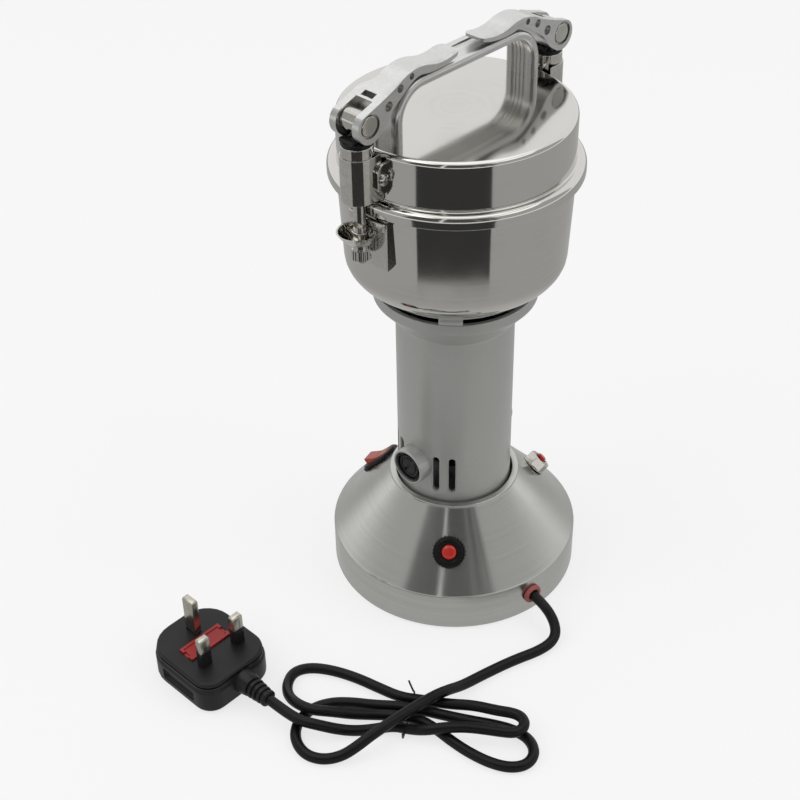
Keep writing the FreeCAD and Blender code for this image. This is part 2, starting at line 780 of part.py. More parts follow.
def brush_caps():
    """The two slotted screw caps that close the brush bosses."""
    caps = []
    back = BOSS_LEDGE + HOLDER_FLANGE_THICKNESS
    front = back + CAP_THICKNESS
    for side in (-1, 1):
        cap = rod(vec(side * back, 0, BOSS_HEIGHT), vec(side * front, 0, BOSS_HEIGHT),
                  BOSS_BORE - 0.15)
        groove = rod(vec(side * (front - CAP_RECESS), 0, BOSS_HEIGHT),
                     vec(side * (front + 1), 0, BOSS_HEIGHT), CAP_DISC_RADIUS + 1)
        disc = rod(vec(side * (front - CAP_RECESS), 0, BOSS_HEIGHT),
                   vec(side * (front - 0.3), 0, BOSS_HEIGHT), CAP_DISC_RADIUS)
        cap = cap.cut(groove).fuse(disc)
        half_slot = CAP_SLOT_WIDTH / 2
        slot = box((front - CAP_RECESS, front + 1), (-half_slot, half_slot),
                   (BOSS_HEIGHT - CAP_DISC_RADIUS, BOSS_HEIGHT + CAP_DISC_RADIUS))
        caps.append(cap.cut(slot if side > 0 else rotated(slot, 180)))
    return caps


# Motor

def bearing(bottom):
    """A ball bearing, as its outer ring, inner ring and the shield between them."""
    bore = SHAFT_RADIUS + RUNNING_FIT
    body = ring(bore, BEARING_RADIUS, bottom, bottom + BEARING_WIDTH)
    for height in (bottom, bottom + BEARING_WIDTH - 0.5):
        body = body.cut(ring(bore + 2, BEARING_RADIUS - 2, height, height + 0.5))
    return body


def lower_bracket():
    """The disc on the housing's foot flange that holds the lower bearing in a cup."""
    bottom = SHELF_TOP + FOOT_FLANGE_THICKNESS
    top = bottom + BRACKET_THICKNESS
    bore = BEARING_RADIUS + PRESS_FIT
    return turned((
        (SHAFT_HOLE_RADIUS, bottom),
        (HOUSING_RADIUS - HOUSING_WALL - SLIP_FIT, bottom),
        (HOUSING_RADIUS - HOUSING_WALL - SLIP_FIT, top),
        (bore + BRACKET_CUP_WALL, top),
        (bore + BRACKET_CUP_WALL, top + BEARING_WIDTH + 1),
        (bore, top + BEARING_WIDTH + 1),
        (bore, top),
        (SHAFT_HOLE_RADIUS, top),
    ))


def motor_shaft():
    """The steel shaft from the lower bearing to the blades."""
    return ring(0, SHAFT_RADIUS, SHAFT_BOTTOM, SHAFT_TOP)


def commutator():
    """The copper commutator with its bars parted by narrow grooves."""
    body = ring(SHAFT_RADIUS + PRESS_FIT, COMMUTATOR_RADIUS, COMMUTATOR_BOTTOM, COMMUTATOR_TOP)
    groove = box((COMMUTATOR_RADIUS - 1, COMMUTATOR_RADIUS + 1), (-0.3, 0.3),
                 (COMMUTATOR_BOTTOM, COMMUTATOR_TOP))
    for cutter in polar(groove, ARMATURE_SLOTS):
        body = body.cut(cutter)
    return body


def carbon_brushes():
    """Two carbon blocks that bear on the commutator."""
    width, height = BRUSH_SIZE
    near = COMMUTATOR_RADIUS + AIR_GAP
    block = box((near, near + BRUSH_LENGTH), (-width / 2, width / 2),
                (BOSS_HEIGHT - height / 2, BOSS_HEIGHT + height / 2))
    return [rotated(block, side) for side in SIDES]


def brush_holders():
    """Two insulated tubes, flanged against the ledge in their bosses."""
    near = COMMUTATOR_RADIUS + 2 * AIR_GAP
    far = BOSS_LEDGE + HOLDER_FLANGE_THICKNESS
    tube = rod(vec(near, 0, BOSS_HEIGHT), vec(far, 0, BOSS_HEIGHT), HOLDER_RADIUS)
    flange = rod(vec(BOSS_LEDGE, 0, BOSS_HEIGHT), vec(far, 0, BOSS_HEIGHT), HOLDER_FLANGE_RADIUS)
    width, height = BRUSH_SIZE
    half_width = width / 2 + SLIP_FIT
    half_height = height / 2 + SLIP_FIT
    channel = box((near, far), (-half_width, half_width),
                  (BOSS_HEIGHT - half_height, BOSS_HEIGHT + half_height))
    holder = tube.fuse(flange).cut(channel)
    return [rotated(holder, side) for side in SIDES]


def armature_core():
    """The laminated core with its slots."""
    core = ring(SHAFT_RADIUS + PRESS_FIT, ARMATURE_RADIUS, ARMATURE_BOTTOM, ARMATURE_TOP)
    width, depth = ARMATURE_SLOT_SIZE
    slot = box((ARMATURE_RADIUS - depth, ARMATURE_RADIUS + 1), (-width / 2, width / 2),
               (ARMATURE_BOTTOM, ARMATURE_TOP))
    for cutter in polar(slot, ARMATURE_SLOTS):
        core = core.cut(cutter)
    return core


def armature_windings():
    """The end turns of the armature's copper, above and below the core."""
    inner = SHAFT_RADIUS + PRESS_FIT
    turns = []
    for bottom in (ARMATURE_BOTTOM - WINDING_LENGTH, ARMATURE_TOP):
        top = bottom + WINDING_LENGTH
        turns.append(turned((
            (inner, bottom),
            (WINDING_RADIUS, bottom, 2.0),
            (WINDING_RADIUS, top, 2.0),
            (inner, top),
        )))
    return turns


def stator():
    """The laminated stator with pockets for its two coils."""
    core = ring(STATOR_BORE, HOUSING_RADIUS - HOUSING_WALL - AIR_GAP,
                ARMATURE_BOTTOM - STATOR_OVERLAP, ARMATURE_TOP + STATOR_OVERLAP)
    for side in SIDES:
        core = core.cut(coil_sector(side, SLIP_FIT))
    return core


def coil_sector(side, grow):
    """The block of one stator coil, grown where it is the pocket."""
    bottom = ARMATURE_BOTTOM - STATOR_OVERLAP - COIL_OVERHANG
    top = ARMATURE_TOP + STATOR_OVERLAP + COIL_OVERHANG
    half = COIL_HALF_ANGLE + math.degrees(grow / COIL_INNER)
    return turned((
        (COIL_INNER - grow, bottom),
        (COIL_OUTER + grow, bottom),
        (COIL_OUTER + grow, top),
        (COIL_INNER - grow, top),
    ), 2 * half, side - half)


def stator_coils():
    """The two field coils."""
    return [coil_sector(side, 0) for side in SIDES]


def fan():
    """The cooling fan on the shaft, with its vanes under a disc."""
    top = FAN_BOTTOM + FAN_HEIGHT
    body = ring(0, FAN_HUB_RADIUS, FAN_BOTTOM, top)
    body = body.fuse(ring(0, FAN_RADIUS, top - FAN_DISC_THICKNESS, top))
    vane = box((FAN_HUB_RADIUS - 1, FAN_RADIUS - 1), (-0.6, 0.6), (FAN_BOTTOM, top - 0.5))
    for blade in polar(vane, FAN_VANES):
        body = body.fuse(blade)
    return body.cut(ring(0, SHAFT_RADIUS + PRESS_FIT, FAN_BOTTOM, top))


# Bowl seat and bowl

SEAT_TOP = SEAT_BOTTOM + SEAT_THICKNESS
BOWL_BOTTOM = SEAT_TOP + BOWL_GASKET_THICKNESS
UPPER_BEARING_BOTTOM = SEAT_BOSS_BOTTOM + 2.0


def bowl_seat():
    """The disc under the bowl, its four tabs on the collar and its bearing boss."""
    bearing_top = UPPER_BEARING_BOTTOM + BEARING_WIDTH
    bore = BEARING_RADIUS + PRESS_FIT
    seat = turned((
        (SHAFT_HOLE_RADIUS, SEAT_TOP),
        (COLLAR_RADIUS, SEAT_TOP, 0.6),
        (COLLAR_RADIUS, SEAT_BOTTOM, 0.6),
        (SEAT_BOSS_RADIUS, SEAT_BOTTOM),
        (SEAT_BOSS_RADIUS, SEAT_BOSS_BOTTOM),
        (bore, SEAT_BOSS_BOTTOM),
        (bore, bearing_top),
        (SHAFT_HOLE_RADIUS, bearing_top),
    ))
    half = SEAT_TAB_WIDTH / 2
    leg_outer = COLLAR_RADIUS - HOUSING_WALL - AIR_GAP
    tab = box((COLLAR_RADIUS - SEAT_TAB_DEPTH, COLLAR_RADIUS + 1), (-half, half),
              (HOUSING_TOP, SEAT_BOTTOM + 1)).common(ring(0, COLLAR_RADIUS, HOUSING_TOP, SEAT_TOP))
    leg = box((COLLAR_RADIUS - SEAT_TAB_DEPTH, COLLAR_RADIUS), (-half, half),
              (SEAT_LEG_BOTTOM, HOUSING_TOP))
    leg = leg.common(ring(0, leg_outer, SEAT_LEG_BOTTOM, HOUSING_TOP))
    for piece in polar(tab.fuse(leg), SEAT_TABS, SEAT_TAB_ANGLE):
        seat = seat.fuse(piece)
    for x, y in on_circle(BOWL_SCREW_CIRCLE, 4, 45):
        seat = seat.cut(ring(0, SCREW_RADIUS + SLIP_FIT, SEAT_BOTTOM, SEAT_TOP, x, y))
    return seat


def bowl_gasket():
    """The flat ring between the seat and the bowl."""
    return ring(BOWL_GASKET_BORE, BOWL_GASKET_RADIUS, SEAT_TOP, BOWL_BOTTOM)


def bowl_outside(grow=0.0):
    """The solid inside the bowl's outer surface."""
    return turned((
        (0, BOWL_BOTTOM),
        (BOWL_SHOULDER_RADIUS + grow - BOWL_DRAFT, BOWL_BOTTOM, BOWL_CORNER),
        (BOWL_MIDDLE_RADIUS + grow, BOWL_BOTTOM + BOWL_MIDDLE_HEIGHT),
        (BOWL_RIM_RADIUS + grow, BOWL_BOTTOM + BOWL_HEIGHT),
        (0, BOWL_BOTTOM + BOWL_HEIGHT),
    ))


def bowl():
    """The spun steel bowl with its rolled rim and the hole for the shaft seal."""
    top = BOWL_BOTTOM + BOWL_HEIGHT
    floor = BOWL_BOTTOM + BOWL_WALL
    cavity = turned((
        (0, floor),
        (BOWL_SHOULDER_RADIUS - BOWL_DRAFT - BOWL_WALL, floor, BOWL_CORNER - BOWL_WALL),
        (BOWL_MIDDLE_RADIUS - BOWL_WALL, BOWL_BOTTOM + BOWL_MIDDLE_HEIGHT),
        (BOWL_RIM_RADIUS - BOWL_WALL, top),
        (0, top),
    ))
    rim = ring(BOWL_RIM_RADIUS - BOWL_WALL, BOWL_FLANGE_RADIUS, top - BOWL_WALL, top)
    shell = bowl_outside().fuse(rim).cut(cavity)
    shell = shell.cut(ring(0, BOWL_HOLE_RADIUS, BOWL_BOTTOM, floor))
    for x, y in on_circle(BOWL_SCREW_CIRCLE, 4, 45):
        shell = shell.cut(ring(0, SCREW_RADIUS + SLIP_FIT, BOWL_BOTTOM, floor, x, y))
    return shell


def shaft_seal():
    """The flanged seal that keeps flour out of the motor."""
    floor = BOWL_BOTTOM + BOWL_WALL
    return turned((
        (SHAFT_RADIUS + RUNNING_FIT, SEAT_TOP),
        (BOWL_HOLE_RADIUS - SLIP_FIT, SEAT_TOP),
        (BOWL_HOLE_RADIUS - SLIP_FIT, floor),
        (SEAL_FLANGE_RADIUS, floor),
        (SEAL_FLANGE_RADIUS, floor + SEAL_FLANGE_THICKNESS, 0.8),
        (SHAFT_RADIUS + RUNNING_FIT, floor + SEAL_FLANGE_THICKNESS),
    ))


def bowl_brackets():
    """The two hooked brackets on the bowl, one under each clamp."""
    plate_outer = BRACKET_STANDOFF + BRACKET_WALL
    flange_bottom = BRACKET_TOP - BRACKET_WALL
    lip_inner = BRACKET_LIP_RADIUS - BRACKET_WALL
    lip_bottom = CUP_RIM + AIR_GAP
    half = math.degrees(BRACKET_HALF_WIDTH / BRACKET_STANDOFF)
    hook = turned((
        (BRACKET_STANDOFF, BRACKET_BOTTOM),
        (plate_outer, BRACKET_BOTTOM),
        (plate_outer, flange_bottom),
        (lip_inner, flange_bottom),
        (lip_inner, lip_bottom),
        (BRACKET_LIP_RADIUS, lip_bottom),
        (BRACKET_LIP_RADIUS, BRACKET_TOP, 0.8),
        (BRACKET_STANDOFF, BRACKET_TOP),
    ), 2 * half, -half)
    side_angle = math.degrees(BRACKET_WALL / BRACKET_STANDOFF)
    for start in (-half, half - side_angle):
        wing = turned((
            (BOWL_SHOULDER_RADIUS - 1, BRACKET_BOTTOM),
            (plate_outer, BRACKET_BOTTOM),
            (plate_outer, BRACKET_TOP),
            (BOWL_SHOULDER_RADIUS - 1, BRACKET_TOP),
        ), side_angle, start)
        hook = hook.fuse(wing.cut(bowl_outside(SLIP_FIT)))
    level = BRACKET_BOTTOM + DIMPLE_RISE
    dimple = rod(vec(plate_outer - 1, 0, level), vec(plate_outer + DIMPLE_HEIGHT, 0, level),
                 DIMPLE_RADIUS)
    hook = hook.fuse(dimple)
    return [rotated(hook, side) for side in SIDES]


# Blades

def spacer(bottom, top):
    """A sleeve on the shaft between two blades."""
    return ring(SHAFT_RADIUS + PRESS_FIT, SPACER_RADIUS, bottom, top)


def blade_spacers():
    """The sleeves under and between the blades."""
    return [
        spacer(LOWER_SPACER_BOTTOM, LOWER_BLADE_BOTTOM),
        spacer(LOWER_BLADE_BOTTOM + BLADE_THICKNESS, UPPER_BLADE_BOTTOM),
    ]


def blade(bottom, reach, bend):
    """A two-ended knife along X, its ends bent up or down by the given height."""
    top = bottom + BLADE_THICKNESS
    section = side_plate((
        (-reach, bottom + bend),
        (-BLADE_ROOT, bottom),
        (BLADE_ROOT, bottom),
        (reach, bottom + bend),
        (reach, top + bend),
        (BLADE_ROOT, top),
        (-BLADE_ROOT, top),
        (-reach, top + bend),
    ), -BLADE_WIDTH, BLADE_WIDTH)
    half = BLADE_WIDTH / 2
    near = BLADE_TIP_OFFSET
    far = near + BLADE_TIP_WIDTH
    plan = plan_plate((
        (-reach, -near),
        (-BLADE_ROOT, -half, BLADE_ROUND),
        (BLADE_ROOT, -half, BLADE_ROUND),
        (reach, near),
        (reach, far),
        (BLADE_ROOT, half, BLADE_ROUND),
        (-BLADE_ROOT, half, BLADE_ROUND),
        (-reach, BLADE_TIP_WIDTH - near),
    ), bottom - abs(bend) - 1, top + abs(bend) + 1)
    return section.common(plan).cut(ring(0, SHAFT_RADIUS + PRESS_FIT, bottom - 1, top + 1))


def blade_nut():
    """The domed nut on the end of the shaft."""
    bottom = UPPER_BLADE_BOTTOM + BLADE_THICKNESS
    across = BLADE_NUT_FLATS / 2 / math.cos(math.pi / 6)
    corners = [(across * math.cos(math.radians(60 * k)), across * math.sin(math.radians(60 * k)))
               for k in range(6)]
    hexagon = plan_plate(corners, bottom, bottom + BLADE_NUT_HEIGHT * 0.6)
    dome = turned((
        (0, bottom),
        (BLADE_NUT_FLATS / 2, bottom),
        (BLADE_NUT_FLATS / 2, bottom + BLADE_NUT_HEIGHT, 4.0),
        (0, bottom + BLADE_NUT_HEIGHT),
    ))
    return hexagon.fuse(dome).cut(ring(0, SHAFT_RADIUS + PRESS_FIT, bottom, SHAFT_TOP + AIR_GAP))


# Lid and handle

def lid():
    """The spun lid with the outward bead that caps the bowl's rim."""
    pocket = BEAD_RADIUS - BEAD_WALL
    inner = LID_RADIUS - LID_WALL
    shell = turned((
        (0, LID_TOP),
        (LID_RADIUS, LID_TOP, LID_EDGE_ROUND),
        (LID_RADIUS, BEAD_TOP, 0.8),
        (BEAD_RADIUS, BEAD_TOP, BEAD_ROUND),
        (BEAD_RADIUS, LID_BOTTOM),
        (pocket, LID_BOTTOM),
        (pocket, LID_GASKET_TOP),
        (inner, LID_GASKET_TOP),
        (inner, LID_TOP - LID_WALL, LID_EDGE_ROUND - LID_WALL),
        (0, LID_TOP - LID_WALL),
    ))
    for x, y in handle_screw_points():
        shell = shell.cut(ring(0, SMALL_SCREW_RADIUS + SLIP_FIT, LID_TOP - LID_WALL, LID_TOP, x, y))
    return shell


def lid_gasket():
    """The sealing ring in the lid's bead."""
    bottom = BOWL_BOTTOM + BOWL_HEIGHT + LID_GASKET_CLEARANCE
    return ring(LID_RADIUS - LID_WALL + AIR_GAP, BEAD_RADIUS - BEAD_WALL - AIR_GAP,
                bottom, LID_GASKET_TOP)


def handle_screw_points():
    """The four screws that hold the handle's feet to the lid."""
    x = HANDLE_OUTER - HANDLE_THICKNESS / 2
    return [(sx * x, sy * HANDLE_SCREW_OFFSET) for sx in (-1, 1) for sy in (-1, 1)]


def arch(step, y_from, y_to):
    """The handle's bridge shape, drawn in by a step on both faces."""
    outer = HANDLE_OUTER - step
    top = HANDLE_TOP - step
    inner = HANDLE_OUTER - HANDLE_THICKNESS + step
    under = HANDLE_TOP - HANDLE_BAR_THICKNESS + step
    return side_plate((
        (-outer, LID_TOP),
        (-outer, top, HANDLE_CORNER),
        (outer, top, HANDLE_CORNER),
        (outer, LID_TOP),
        (inner, LID_TOP),
        (inner, under, HANDLE_CORNER - HANDLE_THICKNESS),
        (-inner, under, HANDLE_CORNER - HANDLE_THICKNESS),
        (-inner, LID_TOP),
    ), y_from, y_to)


def handle():
    """The lid handle, an arch with a rounded bead along each edge and a thinner web."""
    half = HANDLE_WIDTH / 2
    bead = arch(0, half - HANDLE_BEAD_WIDTH, half)
    rounds = [edge for edge in bead.Edges
              if abs(edge.BoundBox.YMin - edge.BoundBox.YMax) < 0.001
              and edge.BoundBox.ZMax > LID_TOP + 0.1]
    bead = bead.makeFillet(HANDLE_EDGE_ROUND, rounds)
    other = bead.mirror(vec(0, 0, 0), vec(0, 1, 0))
    web_half = half - HANDLE_BEAD_WIDTH / 2
    body = bead.fuse(other).fuse(arch(HANDLE_WEB_STEP, -web_half, web_half))
    for x, y in handle_screw_points():
        body = body.cut(ring(0, SMALL_SCREW_RADIUS + SLIP_FIT, LID_TOP, LID_TOP + 9, x, y))
    return body


def lid_screws():
    """The handle's screws under the lid and the cross screws of both clamp straps."""
    screws = [screw(x, y, LID_TOP - LID_WALL, LID_WALL + 8, SMALL_SCREW_RADIUS, SMALL_HEAD_RADIUS)
              for x, y in handle_screw_points()]
    lug_face = TUBE_RADIUS + RUNNING_FIT + STRAP_WALL + SLIP_FIT + LUG_THICKNESS
    for side in (-1, 1):
        head_end = side * (lug_face + STRAP_SCREW_HEAD_THICKNESS)
        tip_end = side * (lug_face - STRAP_SCREW_DEPTH)
        place = [vec(STRAP_SCREW_X, y, STRAP_SCREW_Z) for y in (head_end, side * lug_face, tip_end)]
        head = rod(place[1], place[0], STRAP_SCREW_HEAD)
        rim = [edge for edge in head.Edges
               if edge.Closed and abs(edge.CenterOfMass.y - head_end) < 0.01]
        head = head.makeFillet(1.0, rim)
        for size in (STRAP_SCREW_CROSS, STRAP_SCREW_CROSS[::-1]):
            reach = sorted((head_end - side * STRAP_SCREW_CROSS_DEPTH, head_end + side))
            head = head.cut(box(
                (STRAP_SCREW_X - size[0] / 2, STRAP_SCREW_X + size[0] / 2),
                reach,
                (STRAP_SCREW_Z - size[1] / 2, STRAP_SCREW_Z + size[1] / 2),
            ))
        fixed = head.fuse(rod(place[1], place[2], SCREW_RADIUS))
        screws.extend(rotated(fixed, turn) for turn in SIDES)
    return screws


# Clamps, drawn on the +X side

STRAP_RADIUS = TUBE_RADIUS + RUNNING_FIT + STRAP_WALL


def clamp_lugs():
    """The ears welded to the lid's wall, outside the straps."""
    inner = STRAP_RADIUS + SLIP_FIT
    lugs = []
    wall = ring(0, LID_RADIUS + SLIP_FIT, LUG_BOTTOM, LUG_TOP)
    for side in (-1, 1):
        faces = sorted((side * inner, side * (inner + LUG_THICKNESS)))
        lug = side_plate((
            (LID_RADIUS - 4, LUG_BOTTOM),
            (LUG_END, LUG_BOTTOM, 3.0),
            (LUG_END, LUG_TOP, 3.0),
            (LID_RADIUS - 4, LUG_TOP),
        ), *faces).cut(wall)
        hole = rod(vec(STRAP_SCREW_X, faces[0], STRAP_SCREW_Z),
                   vec(STRAP_SCREW_X, faces[1], STRAP_SCREW_Z), SCREW_RADIUS + SLIP_FIT)
        lugs.extend(rotated(lug.cut(hole), turn) for turn in SIDES)
    return lugs


def clamp_sleeves():
    """The sheet straps that wrap the clamp tubes and end as parallel ears at the lid."""
    outer = STRAP_RADIUS
    inner = STRAP_RADIUS - STRAP_WALL
    solid = ring(0, outer, STRAP_BOTTOM, STRAP_TOP, CLAMP_X)
    solid = solid.fuse(box((STRAP_END, CLAMP_X), (-outer, outer), (STRAP_BOTTOM, STRAP_TOP)))
    hollow = ring(0, inner, STRAP_BOTTOM, STRAP_TOP, CLAMP_X)
    hollow = hollow.fuse(box((STRAP_END - 1, CLAMP_X), (-inner, inner), (STRAP_BOTTOM, STRAP_TOP)))
    strap = solid.cut(hollow)
    bolt = rod(vec(STRAP_SCREW_X, -outer, STRAP_SCREW_Z), vec(STRAP_SCREW_X, outer, STRAP_SCREW_Z),
               SCREW_RADIUS + SLIP_FIT)
    strap = strap.cut(bolt)
    return [rotated(strap, side) for side in SIDES]


def clamp_tubes():
    """The bright tubes that guide the clamp rods."""
    tube = ring(ROD_RADIUS + RUNNING_FIT, TUBE_RADIUS, STRAP_BOTTOM, TUBE_TOP, CLAMP_X)
    return [rotated(tube, side) for side in SIDES]


def clamp_bushes():
    """The black saddles that the lever cams bear on, with a rib between the fork's cheeks."""
    saddle = ring(0, BUSH_RADIUS, TUBE_TOP, SADDLE_HEIGHT, CLAMP_X)
    rib = ring(0, BUSH_RADIUS, SADDLE_HEIGHT, BUSH_RIB_TOP, CLAMP_X)
    rib = rib.common(box((CLAMP_X - BUSH_RADIUS, CLAMP_X + BUSH_RADIUS),
                         (-BUSH_RIB_HALF, BUSH_RIB_HALF), (SADDLE_HEIGHT, BUSH_RIB_TOP)))
    bush = saddle.fuse(rib).cut(ring(0, ROD_RADIUS + RUNNING_FIT, TUBE_TOP, BUSH_RIB_TOP, CLAMP_X))
    return [rotated(bush, side) for side in SIDES]


def clamp_rod():
    """The pull rod with the cross barrel that carries the lever's pin."""
    shank = ring(0, ROD_RADIUS, ROD_BOTTOM, PIN_Z, CLAMP_X)
    barrel = rod(vec(CLAMP_X, -BARREL_HALF, PIN_Z), vec(CLAMP_X, BARREL_HALF, PIN_Z), BARREL_RADIUS)
    bore = rod(vec(CLAMP_X, -BARREL_HALF, PIN_Z), vec(CLAMP_X, BARREL_HALF, PIN_Z),
               PIN_RADIUS + PRESS_FIT)
    return shank.fuse(barrel).cut(bore)


def cross_pin():
    """The lever's pin with a flat head at both ends."""
    face = LEVER_HALF_WIDTH - (HEAD_POCKET_DEPTH - PIN_HEAD_THICKNESS)
    inner = face - PIN_HEAD_THICKNESS + RUNNING_FIT
    pin = rod(vec(CLAMP_X, -face, PIN_Z), vec(CLAMP_X, face, PIN_Z), PIN_RADIUS)
    for side in (-1, 1):
        pin = pin.fuse(rod(vec(CLAMP_X, side * inner, PIN_Z), vec(CLAMP_X, side * face, PIN_Z),
                           PIN_HEAD_RADIUS))
    return pin.removeSplitter()


def curve(points):
    """A smooth edge through (x, z) points at y = 0."""
    spline = Part.BSplineCurve()
    spline.interpolate([vec(x, 0, z) for x, z in points])
    return spline.toShape()


def cam_points():
    """Points of the cam, which shrinks as the lever opens so that its gap to the saddle stays."""
    points = []
    steps = 7
    for index in range(steps + 1):
        turn = math.radians(CAM_TURN) * index / steps
        radius = CAM_RADIUS - CAM_SLACK * index / steps
        points.append((CLAMP_X + radius * math.sin(turn), PIN_Z - radius * math.cos(turn)))
    return points


def lever():
    """The cast clamp lever: a fork with cams at the pin, an arched neck and a thin paddle."""
    cam = cam_points()
    neck = LEVER_TOP_POINTS[0]
    tip_top = LEVER_TOP_POINTS[-1]
    tip_bottom = LEVER_UNDER_POINTS[0]
    edges = [
        curve(cam),
        Part.makeLine(vec(cam[-1][0], 0, cam[-1][1]), vec(neck[0], 0, neck[1])),
        curve(LEVER_TOP_POINTS),
        Part.makeLine(vec(tip_top[0], 0, tip_top[1]), vec(tip_bottom[0], 0, tip_bottom[1])),
        curve(LEVER_UNDER_POINTS),
        Part.makeLine(vec(LEVER_HEEL[0], 0, LEVER_HEEL[1]), vec(cam[0][0], 0, cam[0][1])),
    ]
    face = Part.Face(Part.Wire(edges))
    wide = LEVER_TIP_HALF_WIDTH
    face.translate(vec(0, -wide, 0))
    body = face.extrude(vec(0, 2 * wide, 0))
    narrow = LEVER_HALF_WIDTH
    plan = plan_plate((
        (LEVER_TIP_X - 0.5, -wide, LEVER_TIP_ROUND),
        (LEVER_TIP_X + LEVER_TIP_LENGTH, -wide),
        (LEVER_NECK_X, -narrow),
        (CLAMP_X + 2 * CAM_RADIUS, -narrow),
        (CLAMP_X + 2 * CAM_RADIUS, narrow),
        (LEVER_NECK_X, narrow),
        (LEVER_TIP_X + LEVER_TIP_LENGTH, wide),
        (LEVER_TIP_X - 0.5, wide, LEVER_TIP_ROUND),
    ), PIN_Z - 2 * CAM_RADIUS, HANDLE_TOP + 3 * CAM_RADIUS)
    body = body.common(plan)
    slot = box((FORK_ROOT_X, CLAMP_X + 2 * CAM_RADIUS), (-FORK_HALF, FORK_HALF),
               (PIN_Z - 2 * CAM_RADIUS, PIN_Z + 2 * CAM_RADIUS))
    body = body.cut(slot)
    notch_length, notch_width, notch_depth = LEVER_NOTCH
    notch_x = FORK_ROOT_X - LEVER_NOTCH_OFFSET
    body = body.cut(box((notch_x, notch_x + notch_length), (-notch_width / 2, notch_width / 2),
                        (LEVER_NOTCH_TOP - notch_depth, LEVER_NOTCH_TOP + 2)))
    body = body.cut(rod(vec(CLAMP_X, -wide, PIN_Z), vec(CLAMP_X, wide, PIN_Z),
                        PIN_RADIUS + RUNNING_FIT))
    for side in (-1, 1):
        pocket = vec(CLAMP_X, side * (narrow - HEAD_POCKET_DEPTH), PIN_Z)
        body = body.cut(rod(pocket, vec(CLAMP_X, side * (wide + 1), PIN_Z), HEAD_POCKET_RADIUS))
        for x, z, radius in LEVER_HOLES:
            body = body.cut(rod(vec(x, side * (narrow - LEVER_HOLE_DEPTH), z),
                                vec(x, side * (wide + 1), z), radius))
    return body


def clamp_cup():
    """The lopsided dish that hooks under the bowl's bracket, with its hub on the rod."""
    def dish(shrink, bottom, top):
        lower = Part.makeCircle(CUP_BOTTOM_RADIUS - shrink, vec(CLAMP_X, 0, bottom))
        upper = Part.makeCircle(CUP_RIM_RADIUS - shrink, vec(CLAMP_X + CUP_OFFSET, 0, top))
        return Part.makeLoft([Part.Wire(lower), Part.Wire(upper)], True, True)

    cup = dish(0, CUP_BOTTOM, CUP_RIM)
    cup = cup.cut(dish(CUP_WALL, CUP_BOTTOM + CUP_WALL, CUP_RIM))
    cup = cup.fuse(ring(0, CUP_HUB_RADIUS, CUP_BOTTOM, CUP_RIM - 0.5, CLAMP_X))
    cup = cup.cut(ring(0, ROD_RADIUS + RUNNING_FIT, CUP_BOTTOM, CUP_RIM, CLAMP_X))
    beyond = CLAMP_X - CUP_RIM_RADIUS
    return cup.cut(box((beyond, CUP_FLAT_X), (-2 * CUP_RIM_RADIUS, 2 * CUP_RIM_RADIUS),
                       (CUP_BOTTOM, CUP_RIM)))


def knurled_nut():
    """The fluted adjusting nut under the cup."""
    neck_top = CUP_BOTTOM - AIR_GAP
    body = turned((
        (0, NUT_BOTTOM),
        (NUT_RADIUS - NUT_CHAMFER, NUT_BOTTOM),
        (NUT_RADIUS, NUT_BOTTOM + NUT_CHAMFER),
        (NUT_RADIUS, NUT_TOP, 0.4),
        (NUT_NECK_RADIUS, NUT_TOP + 0.6),
        (NUT_NECK_RADIUS, neck_top),
        (0, neck_top),
    ))
    flute = Part.makeCylinder(NUT_FLUTE_RADIUS, NUT_TOP - NUT_BOTTOM - 2 * NUT_CHAMFER,
                              vec(NUT_RADIUS + 0.1, 0, NUT_BOTTOM + NUT_CHAMFER + 0.2))
    for cutter in polar(flute, NUT_FLUTES):
        body = body.cut(cutter)
    body = body.cut(ring(0, ROD_RADIUS + RUNNING_FIT, ROD_BOTTOM - AIR_GAP, neck_top))
    body.translate(vec(CLAMP_X, 0, 0))
    return body


# Switches on the cone

def rocker_housing():
    """The black rocker switch case with its oval bezel."""
    bezel = plan_plate((
        (-ROCKER_BEZEL_LENGTH / 2, -ROCKER_BEZEL_WIDTH / 2, ROCKER_BEZEL_CORNER),
        (ROCKER_BEZEL_LENGTH / 2, -ROCKER_BEZEL_WIDTH / 2, ROCKER_BEZEL_CORNER),
        (ROCKER_BEZEL_LENGTH / 2, ROCKER_BEZEL_WIDTH / 2, ROCKER_BEZEL_CORNER),
        (-ROCKER_BEZEL_LENGTH / 2, ROCKER_BEZEL_WIDTH / 2, ROCKER_BEZEL_CORNER),
    ), SLIP_FIT, ROCKER_BEZEL_THICKNESS)
    upper = [edge for edge in bezel.Edges
             if abs(edge.CenterOfMass.z - ROCKER_BEZEL_THICKNESS) < 0.01]
    bezel = bezel.makeFillet(ROCKER_BEZEL_ROUND, upper)
    case = box((-ROCKER_BODY_LENGTH / 2, ROCKER_BODY_LENGTH / 2),
               (-ROCKER_BODY_WIDTH / 2, ROCKER_BODY_WIDTH / 2), (-ROCKER_BODY_DEPTH, 1))
    window = box((-ROCKER_WINDOW_LENGTH / 2, ROCKER_WINDOW_LENGTH / 2),
                 (-ROCKER_WINDOW_WIDTH / 2, ROCKER_WINDOW_WIDTH / 2),
                 (-2.2 * ROCKER_DEPTH, ROCKER_BEZEL_THICKNESS + 1))
    pivot = rod(vec(0, -ROCKER_BODY_WIDTH, 0), vec(0, ROCKER_BODY_WIDTH, 0),
                ROCKER_PIN_RADIUS + RUNNING_FIT)
    reach = ROCKER_WINDOW_WIDTH / 2 + ROCKER_PIN_POCKET
    pivot = pivot.common(box((-5, 5), (-reach, reach), (-5, 5)))
    switch = bezel.fuse(case).cut(window).cut(pivot)
    return placed(switch, cone_frame(ROCKER_ANGLE, ROCKER_CIRCLE))


